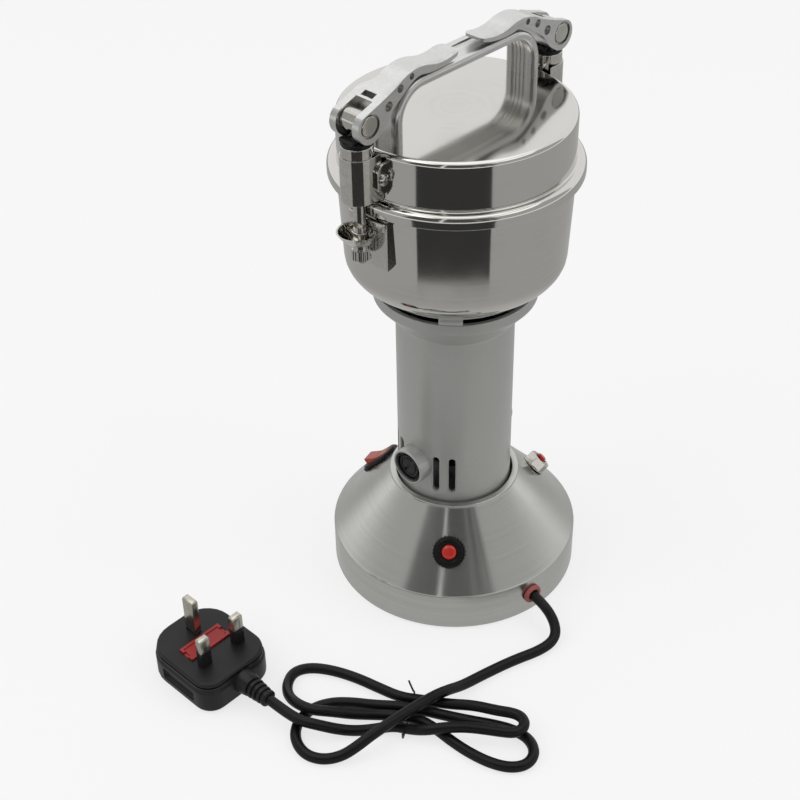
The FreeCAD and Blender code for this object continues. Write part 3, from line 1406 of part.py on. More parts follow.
def rocker():
    """The red rocker on its pivot, resting with its lower end up."""
    half = ROCKER_HALF_LENGTH
    width = ROCKER_WINDOW_WIDTH / 2 - AIR_GAP
    body = side_plate((
        (-half, ROCKER_WING_HEIGHT, ROCKER_TIP_ROUND),
        (0, ROCKER_CREST),
        (half, ROCKER_WING_HEIGHT, ROCKER_TIP_ROUND),
        (half - ROCKER_DRAFT, -ROCKER_DEPTH),
        (-half + ROCKER_DRAFT, -ROCKER_DEPTH),
    ), -width, width)
    pin_half = ROCKER_WINDOW_WIDTH / 2 + ROCKER_PIN_REACH
    body = body.fuse(rod(vec(0, -pin_half, 0), vec(0, pin_half, 0), ROCKER_PIN_RADIUS))
    body.rotate(vec(0, 0, 0), vec(0, 1, 0), ROCKER_TILT)
    return placed(body, cone_frame(ROCKER_ANGLE, ROCKER_CIRCLE))


def reset_bezel():
    """The black knurled bezel of the round button, with its threaded barrel."""
    body = turned((
        (0, SLIP_FIT),
        (RESET_BEZEL_RADIUS, SLIP_FIT),
        (RESET_BEZEL_RADIUS, RESET_BEZEL_HEIGHT, 1.0),
        (RESET_BEZEL_RADIUS - RESET_RIM, RESET_BEZEL_HEIGHT),
        (RESET_BUTTON_RADIUS + 0.6, RESET_BEZEL_HEIGHT - 1.0),
        (0, RESET_BEZEL_HEIGHT - 1.0),
    ))
    notch = Part.makeCylinder(RESET_NOTCH_RADIUS, RESET_BEZEL_HEIGHT, vec(RESET_BEZEL_RADIUS + 0.1, 0, 0))
    for cutter in polar(notch, RESET_KNURLS):
        body = body.cut(cutter)
    body = body.fuse(ring(0, RESET_BARREL_RADIUS, -RESET_BARREL_DEPTH, 1))
    body = body.cut(ring(0, RESET_BUTTON_RADIUS + AIR_GAP, -RESET_BARREL_DEPTH + BARREL_FLOOR,
                         RESET_BEZEL_HEIGHT))
    return placed(body, cone_frame(RESET_ANGLE, RESET_CIRCLE))


def red_button():
    """The round red button, domed, sliding in its bezel."""
    body = turned((
        (0, -RESET_BARREL_DEPTH + BARREL_FLOOR + RESET_STROKE + AIR_GAP),
        (RESET_BUTTON_RADIUS, -RESET_BARREL_DEPTH + BARREL_FLOOR + RESET_STROKE + AIR_GAP),
        (RESET_BUTTON_RADIUS, RESET_BUTTON_TOP, 1.4),
        (0, RESET_BUTTON_TOP),
    ))
    return placed(body, cone_frame(RESET_ANGLE, RESET_CIRCLE))


def hex_nut():
    """The washer and hexagon nut of the small button."""
    washer = ring(0, HEX_WASHER_RADIUS, 0, HEX_WASHER_THICKNESS)
    across = HEX_NUT_FLATS / 2 / math.cos(math.pi / 6)
    corners = [(across * math.cos(math.radians(60 * k)), across * math.sin(math.radians(60 * k)))
               for k in range(6)]
    top = HEX_WASHER_THICKNESS + HEX_NUT_HEIGHT
    nut = plan_plate(corners, HEX_WASHER_THICKNESS, top)
    nut = nut.common(turned(((0, 0), (across + 0.2, 0), (across + 0.2, top - 0.8),
                             (HEX_NUT_FLATS / 2 - 0.2, top), (0, top))))
    bore = ring(0, HEX_BARREL_RADIUS + SLIP_FIT, 0, top)
    body = washer.fuse(nut).cut(bore)
    body.translate(vec(0, 0, SLIP_FIT))
    return placed(body, cone_frame(HEX_ANGLE, HEX_CIRCLE))


def button_barrel():
    """The threaded barrel of the small button."""
    body = ring(0, HEX_BARREL_RADIUS, -HEX_BARREL_DEPTH, HEX_BARREL_TOP)
    body = body.cut(ring(0, HEX_BUTTON_RADIUS + AIR_GAP, -HEX_BARREL_DEPTH + BARREL_FLOOR, HEX_BARREL_TOP))
    return placed(body, cone_frame(HEX_ANGLE, HEX_CIRCLE))


def hex_button():
    """The small red button with its faceted tip."""
    corners = [(HEX_BUTTON_RADIUS * math.cos(math.tau * k / BUTTON_SIDES),
                HEX_BUTTON_RADIUS * math.sin(math.tau * k / BUTTON_SIDES))
               for k in range(BUTTON_SIDES)]
    body = plan_plate(corners, -HEX_BARREL_DEPTH + BARREL_FLOOR + RESET_STROKE + AIR_GAP, HEX_BUTTON_TOP)
    upper = [edge for edge in body.Edges if abs(edge.CenterOfMass.z - HEX_BUTTON_TOP) < 0.01]
    body = body.makeChamfer(0.5, upper)
    return placed(body, cone_frame(HEX_ANGLE, HEX_CIRCLE))


# Cord, laid on the table in a tied bundle

def radial(distance, height):
    """A point on the cord's line out of the base."""
    angle = math.radians(CORD_ANGLE)
    return vec(distance * math.cos(angle), distance * math.sin(angle), height)


CORD_ROUTE = [
    radial(CORD_INNER_END, CORD_HEIGHT),
    radial(BASE_RADIUS + 9.0, CORD_HEIGHT),
]
CORD_ROUTE += [vec(*point) for point in LEAD_POINTS + BUNDLE_POINTS]
LEAD_COUNT = 2 + len(LEAD_POINTS)


def route_arcs(route):
    """The tangent arc at each inner point, as its two tangent points, middle and radius."""
    arcs = []
    for before, corner, after in zip(route, route[1:], route[2:]):
        to_before = before - corner
        to_after = after - corner
        shorter = min(to_before.Length, to_after.Length)
        half_turn = (math.pi - to_before.getAngle(to_after)) / 2
        radius = 0.45 * shorter / math.tan(half_turn)
        start, middle, end = corner_arc(before, corner, after, radius)
        arcs.append((start, middle, end, radius, math.degrees(2 * half_turn)))
    return arcs


def route_edges(route):
    """Straight runs joined by tangent arcs, as the edges of one path."""
    edges = []
    last = route[0]
    for start, middle, end, _radius, _turn in route_arcs(route):
        edges.append(Part.LineSegment(last, start).toShape())
        edges.append(Part.Arc(start, middle, end).toShape())
        last = end
    edges.append(Part.LineSegment(last, route[-1]).toShape())
    return edges


def cord_tube(edges):
    """A round tube along a path, with its volume compared with its section times its length."""
    path = Part.Wire(edges)
    start = edges[0].valueAt(edges[0].FirstParameter)
    heading = edges[0].tangentAt(edges[0].FirstParameter)
    section = Part.Wire(Part.makeCircle(CORD_RADIUS, start, heading))
    tube = path.makePipeShell([section], True, False)
    expected = math.pi * CORD_RADIUS ** 2 * path.Length
    print(f"cord tube {path.Length:.1f} mm long, volume ratio {tube.Volume / expected:.4f}")
    return tube


def report_cord(route):
    """Print the cord's radii and the least gap between stretches that lie beside each other."""
    for index, (_start, _middle, _end, radius, turn) in enumerate(route_arcs(route), 1):
        print(f"cord point {index}: radius {radius:.1f}, turn {turn:.0f}")
    path = Part.Wire(route_edges(route))
    step = 1.0
    points = path.discretize(Distance=step)
    skip = int(6 * CORD_RADIUS / step)
    worst = None
    for first in range(len(points)):
        for second in range(first + skip, len(points)):
            apart = points[first].distanceToPoint(points[second])
            if worst is None or apart < worst[0]:
                worst = (apart, points[first], points[second])
    gap = worst[0] - 2 * CORD_RADIUS
    print(f"cord least self gap {gap:.2f} mm, wanted over {CORD_SELF_GAP}, at {worst[1]}, {worst[2]}")
    print(f"cord length {path.Length:.0f} mm, lowest {min(p.z for p in points) - CORD_RADIUS:.2f}")


def cord_grommet():
    """The grommet in the base, with a flange on each side of the wall."""
    bore = CORD_RADIUS + GROMMET_BORE_CLEARANCE
    outer = BASE_RADIUS + SLIP_FIT
    inner = BAND_INNER - SLIP_FIT
    mouth = outer + GROMMET_FLANGE
    back = inner - GROMMET_INNER_FLANGE
    flange_outer = rod(vec(outer, 0, CORD_HEIGHT), vec(mouth, 0, CORD_HEIGHT), GROMMET_RADIUS)
    edge = [edge for edge in flange_outer.Edges
            if edge.Closed and abs(edge.CenterOfMass.x - mouth) < 0.01]
    flange_outer = flange_outer.makeFillet(GROMMET_ROUND, edge)
    flange_inner = rod(vec(back, 0, CORD_HEIGHT), vec(inner, 0, CORD_HEIGHT), GROMMET_RADIUS)
    neck = rod(vec(inner, 0, CORD_HEIGHT), vec(outer + 0.1, 0, CORD_HEIGHT), GROMMET_NECK_RADIUS)
    body = flange_outer.fuse(neck).fuse(flange_inner)
    seat = turned(((inner, 0), (outer, 0), (outer, 2 * CORD_HEIGHT), (inner, 2 * CORD_HEIGHT)))
    sleeve = rod(vec(back - 1, 0, CORD_HEIGHT), vec(mouth + 1, 0, CORD_HEIGHT), GROMMET_NECK_RADIUS)
    body = body.cut(seat.cut(sleeve))
    hole = rod(vec(back - 1, 0, CORD_HEIGHT), vec(mouth + 1, 0, CORD_HEIGHT), bore)
    return rotated(body.cut(hole), CORD_ANGLE)


def cord_tie():
    """The wire tie under and beside the bundle, with its end standing up."""
    centre = vec(*TIE_PLACE, 0)
    heading = math.radians(TIE_HEADING)
    across = vec(math.cos(heading), math.sin(heading), 0)
    along = vec(math.sin(heading), -math.cos(heading), 0)
    return [wire_bar([centre + across * u + along * v + UP * z for u, v, z in TIE_BENDS])]


def wire_bar(points):
    """A bent wire through points, with a ball at each inner bend."""
    body = None
    for start, end in zip(points, points[1:]):
        bar = rod(start, end, TIE_RADIUS)
        body = bar if body is None else body.fuse(bar)
    for point in points[1:-1]:
        body = body.fuse(Part.makeSphere(TIE_RADIUS, point))
    return body


# Plug

def plug_plan(bottom, top):
    """The plug's block seen from above, rounder at the earth pin than at the cord."""
    left, right = PLUG_SIDES
    back, front = PLUG_ENDS
    return plan_plate((
        (left, back, PLUG_CORD_CORNER),
        (right, back, PLUG_CORD_CORNER),
        (right, front, PLUG_EARTH_CORNER),
        (left, front, PLUG_EARTH_CORNER),
    ), bottom, top)


def plug_body():
    """The moulded plug with its rounded back and ribbed strain relief."""
    bottom = PLUG_FACE - PLUG_DEPTH
    body = plug_plan(bottom, PLUG_FACE)
    back = [edge for edge in body.Edges if abs(edge.CenterOfMass.z - bottom) < 0.01]
    body = body.makeFillet(PLUG_BACK_ROUND, back)
    front = [edge for edge in body.Edges if abs(edge.CenterOfMass.z - PLUG_FACE) < 0.01]
    body = body.makeFillet(PLUG_FRONT_ROUND, front)
    start = CORD_ROUTE[-1]
    seat = vec(PLUG_X, PLUG_ENDS[0] + 2, start.z)
    body = body.fuse(rod(start, seat, RELIEF_RADIUS))
    run = (seat - start).normalize()
    width, depth = RELIEF_GROOVE
    for index in range(RELIEF_RIBS):
        place = start + run * (2 * width + RELIEF_PITCH * index)
        groove = rod(place, place + run * width, RELIEF_RADIUS + 1)
        groove = groove.cut(rod(place, place + run * width, RELIEF_RADIUS - depth))
        body = body.cut(groove)
    for pin_x, pin_y, size in pin_places():
        hole = box((pin_x - size[0] / 2 - SLIP_FIT, pin_x + size[0] / 2 + SLIP_FIT),
                   (pin_y - size[1] / 2 - SLIP_FIT, pin_y + size[1] / 2 + SLIP_FIT),
                   (PLUG_FACE - PIN_DEPTH - 0.5, PLUG_FACE + 1))
        body = body.cut(hole)
    pocket = fuse_block(SLIP_FIT, PLUG_FACE + 1)
    return body.cut(pocket)


def fuse_block(grow, top):
    """The block of the fuse cover, or of its pocket where it is grown."""
    x, y = FUSE_CENTRE
    half_length = FUSE_COVER[0] / 2 + grow
    half_width = FUSE_COVER[1] / 2 + grow
    return box((x - half_length, x + half_length), (y - half_width, y + half_width),
               (PLUG_FACE - FUSE_DEPTH, top))


def pin_places():
    """The place and section of each pin: live, neutral and earth."""
    x = PLUG_X
    return (
        (x - PIN_SPACING / 2, PLUG_LINE_Y, LINE_PIN),
        (x + PIN_SPACING / 2, PLUG_LINE_Y, LINE_PIN),
        (x, PLUG_LINE_Y + EARTH_SPACING, EARTH_PIN),
    )


def plug_pins():
    """The three rectangular pins, the two line pins with a shoulder where their sleeve ends."""
    pins = []
    for x, y, (width, depth, length) in pin_places():
        pin = box((x - width / 2, x + width / 2), (y - depth / 2, y + depth / 2),
                  (PLUG_FACE - PIN_DEPTH, PLUG_FACE + length))
        tip = [edge for edge in pin.Edges
               if abs(edge.BoundBox.ZMin - PLUG_FACE - length) < 0.01]
        pins.append(pin.makeChamfer(0.8, tip))
    return pins


def plug_fuse_cover():
    """The red fuse cover with a notch at each end."""
    length, _width, height = FUSE_COVER
    x, y = FUSE_CENTRE
    depth, half = FUSE_NOTCH[0], FUSE_NOTCH[1] / 2
    cover = fuse_block(0, PLUG_FACE + height)
    for end in (-1, 1):
        reach = sorted((x + end * (length / 2 - depth), x + end * length))
        cover = cover.cut(box(reach, (y - half, y + half), (PLUG_FACE, PLUG_FACE + height + 1)))
    return cover


# All the pieces by name

def pieces():
    """Each named piece of the mill with its shape, or list of separate shapes."""
    edges = route_edges(CORD_ROUTE)
    split = 2 * (LEAD_COUNT - 1)
    both_levers = lever()
    parts = {
        "base_shell": base_shell(),
        "base_plate": base_plate(),
        "rubber_feet": rubber_feet(),
        "pan_head_screws": pan_head_screws(),
        "housing_gasket": housing_gasket(),
        "motor_housing": motor_housing(),
        "lower_bracket": lower_bracket(),
        "lower_bearing": bearing(SHELF_TOP + FOOT_FLANGE_THICKNESS + BRACKET_THICKNESS),
        "stator": stator(),
        "stator_coils": stator_coils(),
        "brush_holders": brush_holders(),
        "carbon_brushes": carbon_brushes(),
        "brush_caps": brush_caps(),
        "bowl_seat": bowl_seat(),
        "upper_bearing": bearing(UPPER_BEARING_BOTTOM),
        "bowl_gasket": bowl_gasket(),
        "bowl": bowl(),
        "shaft_seal": shaft_seal(),
        "bowl_brackets": bowl_brackets(),
        "rocker_housing": rocker_housing(),
        "rocker": rocker(),
        "reset_bezel": reset_bezel(),
        "red_button": red_button(),
        "hex_nut": hex_nut(),
        "button_barrel": button_barrel(),
        "hex_button": hex_button(),
        "lid": lid(),
        "lid_gasket": lid_gasket(),
        "handle": handle(),
        "lid_screws": lid_screws(),
        "clamp_lugs": clamp_lugs(),
        "clamp_sleeves": clamp_sleeves(),
        "clamp_tubes": clamp_tubes(),
        "clamp_bushes": clamp_bushes(),
        "motor_shaft": motor_shaft(),
        "commutator": commutator(),
        "armature_core": armature_core(),
        "armature_windings": armature_windings(),
        "fan": fan(),
        "blade_spacers": blade_spacers(),
        "lower_blade": blade(LOWER_BLADE_BOTTOM, LOWER_BLADE_REACH, -LOWER_BLADE_DROP),
        "upper_blade": rotated(blade(UPPER_BLADE_BOTTOM, UPPER_BLADE_REACH, UPPER_BLADE_RISE), 90),
        "blade_nut": blade_nut(),
        "cord_grommet": cord_grommet(),
        "power_cord": cord_tube(edges[:split]),
        "cord_bundle": cord_tube(edges[split:]),
        "cord_tie": cord_tie(),
        "plug_body": plug_body(),
        "plug_pins": plug_pins(),
        "plug_fuse_cover": plug_fuse_cover(),
    }
    for name, turn in (("right", SIDES[0]), ("left", SIDES[1])):
        parts[f"clamp_rod_{name}"] = rotated(clamp_rod(), turn)
        parts[f"cross_pin_{name}"] = rotated(cross_pin(), turn)
        parts[f"clamp_lever_{name}"] = rotated(both_levers, turn)
        parts[f"clamp_cup_{name}"] = rotated(clamp_cup(), turn)
        parts[f"knurled_nut_{name}"] = rotated(knurled_nut(), turn)
    return parts


def main():
    """Write one STEP file for each named piece."""
    os.makedirs("parts", exist_ok=True)
    for name, shape in pieces().items():
        whole = solids_of(shape if isinstance(shape, list) else [shape])
        if not whole.isValid():
            print(f"{name} is not valid")
        single = whole.Solids[0] if len(whole.Solids) == 1 else whole
        single.exportStep(f"parts/{name}.step")
    report_cord(CORD_ROUTE)


main()
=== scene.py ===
"""Looks of an electric grain mill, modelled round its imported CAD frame.

Sizes are in millimetres of the mill's frame: the axis is Z, and +X runs along the lid's handle.
The cord's route alone is in metres. Shape turns millimetres into metres as it draws.
"""

import logging
import math
from dataclasses import dataclass
from enum import Enum
from typing import Callable, Iterable, Sequence

import bmesh
import bpy
from mathutils import Matrix, Vector


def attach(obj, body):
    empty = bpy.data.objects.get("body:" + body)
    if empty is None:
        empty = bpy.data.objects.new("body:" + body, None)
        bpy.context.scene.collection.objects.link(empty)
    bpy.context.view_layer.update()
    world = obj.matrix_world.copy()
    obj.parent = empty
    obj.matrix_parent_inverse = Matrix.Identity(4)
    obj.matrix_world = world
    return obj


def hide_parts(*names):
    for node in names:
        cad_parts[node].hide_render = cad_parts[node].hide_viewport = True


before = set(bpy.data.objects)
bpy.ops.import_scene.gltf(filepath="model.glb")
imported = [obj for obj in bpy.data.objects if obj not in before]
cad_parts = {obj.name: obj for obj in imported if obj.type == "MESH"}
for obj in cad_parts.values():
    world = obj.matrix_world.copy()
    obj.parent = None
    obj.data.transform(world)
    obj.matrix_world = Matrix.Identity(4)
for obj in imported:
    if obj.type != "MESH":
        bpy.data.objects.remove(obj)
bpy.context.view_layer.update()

log = logging.getLogger("grain_mill")

Corner = Sequence[float]
MM = 0.001
MERGE = 1e-6
SIDE_TURNS = {"right": 0.0, "left": 180.0}


class Joining(Enum):
    """How one shape is combined with another."""

    FUSE = "UNION"
    CUT = "DIFFERENCE"
    KEEP_SHARED = "INTERSECT"


class Grain(Enum):
    """The fine relief of a surface."""

    SPUN = "spun"
    LINED = "lined"
    CAST = "cast"
    MOULDED = "moulded"


# Shaping


def clear_selection() -> None:
    """Leave edit mode if needed and deselect every object."""
    if bpy.context.object is not None and bpy.context.object.mode != "OBJECT":
        bpy.ops.object.mode_set(mode="OBJECT")
    bpy.ops.object.select_all(action="DESELECT")


def turn_about_z(angle: float) -> Matrix:
    """Return a turn about the mill's axis by an angle in degrees."""
    return Matrix.Rotation(math.radians(angle), 4, "Z")


def shifted(x: float, y: float, z: float) -> Matrix:
    """Return a move by millimetres."""
    return Matrix.Translation(Vector((x, y, z)) * MM)


def pointing(start: Corner, direction: Corner) -> Matrix:
    """Return the place whose origin is at a point and whose Z axis points along a direction.

    Args:
        start: The point, in millimetres.
        direction: Where Z points.

    Returns:
        The place as a matrix in metres.
    """
    turn = Vector(direction).to_track_quat("Z", "Y").to_matrix().to_4x4()
    return Matrix.Translation(Vector(start) * MM) @ turn


class Shape:
    """A mesh that is shaped with operators, as by hand."""

    def __init__(self, name: str, start: Corner = (0.0, 0.0, 0.0)) -> None:
        """Start as a single point.

        Args:
            name: The object's name.
            start: Where the point is, in millimetres.
        """
        clear_selection()
        bpy.ops.mesh.primitive_plane_add(size=MM)
        self.obj = bpy.context.object
        self.obj.name = name
        self.edit()
        bpy.ops.mesh.merge(type="CENTER")
        bpy.ops.transform.translate(value=Vector(start) * MM)

    @classmethod
    def holding(cls, obj: bpy.types.Object, name: str) -> "Shape":
        """Return a shape round an object that exists, under a new name."""
        shape = cls.__new__(cls)
        shape.obj = obj
        obj.name = name
        return shape

    def select(self) -> None:
        """Make this the one selected and active object."""
        clear_selection()
        self.obj.select_set(True)
        bpy.context.view_layer.objects.active = self.obj

    def edit(self) -> None:
        """Enter edit mode with every vertex selected."""
        self.select()
        bpy.ops.object.mode_set(mode="EDIT")
        bpy.ops.mesh.select_mode(type="VERT")
        bpy.ops.mesh.select_all(action="SELECT")

    def pick(self, wanted: Callable[[Vector], bool]) -> None:
        """Select the vertices at places that pass a test, in edit mode.

        Args:
            wanted: The test, of a place in millimetres.
        """
        bpy.ops.mesh.select_mode(type="VERT")
        bpy.ops.mesh.select_all(action="DESELECT")
        mesh = bmesh.from_edit_mesh(self.obj.data)
        for vertex in mesh.verts:
            vertex.select = wanted(vertex.co / MM)
        mesh.select_flush_mode()
        bmesh.update_edit_mesh(self.obj.data)

    def pick_faces(self, wanted: Callable[[Vector, Vector], bool]) -> None:
        """Select the faces whose middle and normal pass a test, in edit mode.

        Args:
            wanted: The test, of a middle in millimetres and a normal.
        """
        bpy.ops.mesh.select_mode(type="FACE")
        bpy.ops.mesh.select_all(action="DESELECT")
        mesh = bmesh.from_edit_mesh(self.obj.data)
        for face in mesh.faces:
            face.select = wanted(face.calc_center_median() / MM, face.normal)
        mesh.select_flush_mode()
        bmesh.update_edit_mesh(self.obj.data)

    def draw(self, corners: Sequence[Corner], closed: bool = True) -> None:
        """Extrude the first point through corners, then round those that ask for it.

        Args:
            corners: Places (x, y, z, round) in millimetres, the first where the point is.
            closed: Whether the line comes back to its start.
        """
        places = [Vector(corner[:3]) for corner in corners]
        for before, after in zip(places, places[1:]):
            step = (after - before) * MM
            bpy.ops.mesh.extrude_vertices_move(TRANSFORM_OT_translate={"value": step})
        if closed:
            ends = (places[0], places[-1])
            self.pick(lambda at: min((at - end).length for end in ends) < 1e-3)
            bpy.ops.mesh.edge_face_add()
        count = len(places)
        for index, corner in enumerate(corners):
            if corner[3] <= 0:
                continue
            here = places[index]
            before = (places[index - 1] - here).normalized()
            after = (places[(index + 1) % count] - here).normalized()
            half = before.angle(after) / 2
            turn = math.degrees(math.pi - 2 * half)
            self.pick(lambda at: (at - here).length < 1e-3)
            bpy.ops.mesh.bevel(
                offset_type="OFFSET",
                offset=corner[3] * MM / math.tan(half),
                segments=max(2, round(turn / 12)),
                affect="VERTICES",
            )
        bpy.ops.mesh.select_mode(type="VERT")
        bpy.ops.mesh.select_all(action="SELECT")

    @classmethod
    def turned(
        cls,
        name: str,
        profile: Sequence[Corner],
        steps: int = 96,
        closed: bool = True,
        angle: float = 360.0,
        start: float = 0.0,
    ) -> "Shape":
        """Return a shape spun about the Z axis.

        Args:
            name: The object's name.
            profile: Corners (radius, height) or (radius, height, round) in millimetres.
            steps: How many steps the spin takes.
            closed: Whether the profile is a closed line. An open one starts and ends on the axis.
            angle: How far it is spun, in degrees.
            start: Where the spin starts, in degrees.

        Returns:
            The shape, in object mode.
        """
        corners = [(c[0], 0.0, c[1], c[2] if len(c) > 2 else 0.0) for c in profile]
        shape = cls(name, corners[0][:3])
        shape.draw(corners, closed)
        if angle < 360.0:
            bpy.ops.mesh.edge_face_add()
        bpy.ops.mesh.spin(
            steps=steps,
            dupli=False,
            angle=math.radians(angle),
            center=(0.0, 0.0, 0.0),
            axis=(0.0, 0.0, -1.0),
        )
        shape.mend()
        return shape.place(turn_about_z(start)) if start else shape

    @classmethod
    def plate(
        cls,
        name: str,
        outline: Sequence[Corner],
        low: float,
        high: float,
        upright: bool = False,
    ) -> "Shape":
        """Return an outline given a thickness.

        Args:
            name: The object's name.
            outline: Corners (x, y) or (x, y, round), or (x, z) where it is upright.
            low: Where the thickness starts.
            high: Where the thickness ends.
            upright: Whether the outline stands in the XZ plane and thickens along Y.

        Returns:
            The shape, in object mode.
        """
        corners = []
        for c in outline:
            rounding = c[2] if len(c) > 2 else 0.0
            corners.append((c[0], low, c[1], rounding) if upright else (c[0], c[1], low, rounding))
        shape = cls(name, corners[0][:3])
        shape.draw(corners)
        bpy.ops.mesh.edge_face_add()
        reach = (high - low) * MM
        shape.extrude((0.0, reach / MM, 0.0) if upright else (0.0, 0.0, reach / MM))
        shape.mend()
        return shape

    @classmethod
    def flowing(
        cls, name: str, runs: Sequence[Sequence[Corner]], low: float, high: float
    ) -> "Shape":
        """Return an upright plate whose outline is made of smooth runs end to end.

        Args:
            name: The object's name.
            runs: Runs of (x, z) points, each run smooth and starting where the last one ends.
            low: Where the thickness starts along Y.
            high: Where it ends.

        Returns:
            The shape, in object mode.
        """
        curve = bpy.data.curves.new(name, "CURVE")
        curve.dimensions = "3D"
        for run in runs:
            spline = curve.splines.new("BEZIER")
            spline.bezier_points.add(len(run) - 1)
            spline.resolution_u = 5 if len(run) > 2 else 1
            for point, place in zip(spline.bezier_points, run):
                point.co = Vector((place[0], low, place[1])) * MM
                point.handle_left_type = point.handle_right_type = "AUTO"
        obj = bpy.data.objects.new(name, curve)
        bpy.context.scene.collection.objects.link(obj)
        shape = cls.holding(obj, name)
        shape.select()
        bpy.ops.object.convert(target="MESH")
        shape.obj = bpy.context.object
        shape.edit()
        bpy.ops.mesh.remove_doubles(threshold=1e-5)
        bpy.ops.mesh.edge_face_add()
        shape.extrude((0.0, high - low, 0.0))
        shape.mend()
        return shape

    @classmethod
    def rod(
        cls, name: str, start: Corner, end: Corner, radius: float, sides: int = 48
    ) -> "Shape":
        """Return a round bar between two points, as a start or a cutter.

        Args:
            name: The object's name.
            start: One end, in millimetres.
            end: The other end.
            radius: The bar's radius.
            sides: How many sides it has.

        Returns:
            The shape, in object mode.
        """
        clear_selection()
        line = Vector(end) - Vector(start)
        bpy.ops.mesh.primitive_cylinder_add(
            vertices=sides, radius=radius * MM, depth=line.length * MM
        )
        shape = cls.holding(bpy.context.object, name)
        middle = (Vector(start) + Vector(end)) / 2
        return shape.place(pointing(middle, line))

    @classmethod
    def block(cls, name: str, low: Corner, high: Corner) -> "Shape":
        """Return a block between two corners, as a start or a cutter."""
        clear_selection()
        bpy.ops.mesh.primitive_cube_add(size=1.0)
        shape = cls.holding(bpy.context.object, name)
        size = Vector(high) - Vector(low)
        middle = (Vector(high) + Vector(low)) / 2
        return shape.place(
            Matrix.Translation(middle * MM) @ Matrix.Diagonal((*(size * MM), 1.0))
        )

    @classmethod
    def fluted(
        cls, name: str, radius: float, depth: float, flutes: int, low: float, high: float
    ) -> "Shape":
        """Return an upright round piece with flutes along its side.

        Args:
            name: The object's name.
            radius: The outer radius.
            depth: How deep the flutes are.
            flutes: How many there are.
            low: The bottom's height.
            high: The top's height.

        Returns:
            The shape, in object mode.
        """
        clear_selection()
        bpy.ops.mesh.primitive_circle_add(
            vertices=4 * flutes, radius=radius * MM, fill_type="NOTHING", location=(0, 0, low * MM)
        )
        shape = cls.holding(bpy.context.object, name)
        shape.place(Matrix.Identity(4))
        shape.edit()
        quarter = math.tau / (4 * flutes)

        def in_flute(at: Vector) -> bool:
            """Tell whether a point of the circle is at the bottom of a flute."""
            return round(math.atan2(at.x, at.y) / quarter) % 4 < 2

        shape.pick(in_flute)
        share = (radius - depth) / radius
        bpy.ops.transform.resize(value=(share, share, 1.0), center_override=(0.0, 0.0, low * MM))
        bpy.ops.mesh.select_all(action="SELECT")
        bpy.ops.mesh.edge_face_add()
        shape.extrude((0.0, 0.0, high - low))
        shape.mend()
        return shape

    def extrude(self, step: Corner) -> None:
        """Extrude what is selected by a step in millimetres, in edit mode."""
        bpy.ops.mesh.extrude_region_move(
            TRANSFORM_OT_translate={"value": Vector(step) * MM}
        )

    def resize(self, share: Corner, centre: Corner) -> None:
        """Resize what is selected about a centre in millimetres, in edit mode."""
        bpy.ops.transform.resize(value=share, center_override=Vector(centre) * MM)

    def mend(self) -> None:
        """Merge doubles, point the faces outwards and leave edit mode."""
        self.edit()
        bpy.ops.mesh.remove_doubles(threshold=MERGE)
        bpy.ops.mesh.dissolve_degenerate(threshold=MERGE)
        bpy.ops.mesh.select_all(action="SELECT")
        bpy.ops.mesh.normals_make_consistent(inside=False)
        bpy.ops.object.mode_set(mode="OBJECT")

    def place(self, where: Matrix) -> "Shape":
        """Move the shape, put its place into its mesh and return it."""
        self.select()
        self.obj.matrix_world = where @ self.obj.matrix_world
        bpy.ops.object.transform_apply(location=True, rotation=True, scale=True)
        return self

    def copy(self, name: str, where: Matrix) -> "Shape":
        """Return a copy with its own mesh, put at another place."""
        self.select()
        bpy.ops.object.duplicate(linked=False)
        twin = Shape.holding(bpy.context.object, name)
        return twin.place(where)

    def modify(self, kind: str, **settings: object) -> None:
        """Add a modifier and apply it.

        Args:
            kind: The modifier's type.
            settings: Its settings by name.
        """
        self.select()
        modifier = self.obj.modifiers.new(kind.lower(), kind)
        for key, value in settings.items():
            setattr(modifier, key, value)
        bpy.ops.object.modifier_apply(modifier=modifier.name)

    def combine(self, others: Iterable["Shape"], how: Joining) -> "Shape":
        """Combine with other shapes, which are used up.

        Args:
            others: The other shapes.
            how: Whether they are added, cut away or only the shared room is kept.

        Returns:
            This shape.
        """
        for other in others:
            self.modify("BOOLEAN", operation=how.value, object=other.obj, solver="EXACT")
            bpy.data.objects.remove(other.obj)
        return self

    def cut(self, *others: "Shape") -> "Shape":
        """Cut other shapes away and return this one."""
        return self.combine(others, Joining.CUT)

    def fuse(self, *others: "Shape") -> "Shape":
        """Fuse other shapes on and return this one."""
        return self.combine(others, Joining.FUSE)

    def together(self, *others: "Shape") -> "Shape":
        """Put other shapes into this object, as they are, and return this one."""
        self.select()
        for other in others:
            other.obj.select_set(True)
        bpy.ops.object.join()
        return self

    def bevel(self, width: float, segments: int = 2, angle: float = 32.0) -> "Shape":
        """Round the edges that are sharper than an angle and return the shape.

        Args:
            width: The rounding's width in millimetres.
            segments: How many faces it has across.
            angle: The least angle, in degrees.

        Returns:
            This shape.
        """
        self.modify(
            "BEVEL",
            width=width * MM,
            segments=segments,
            limit_method="ANGLE",
            angle_limit=math.radians(angle),
        )
        return self

    def weigh_normals(self) -> "Shape":
        """Let large faces lead the shading and return the shape."""
        self.select()
        bpy.ops.object.shade_smooth_by_angle(angle=math.radians(40.0))
        self.modify("WEIGHTED_NORMAL", keep_sharp=True, weight=80)
        return self

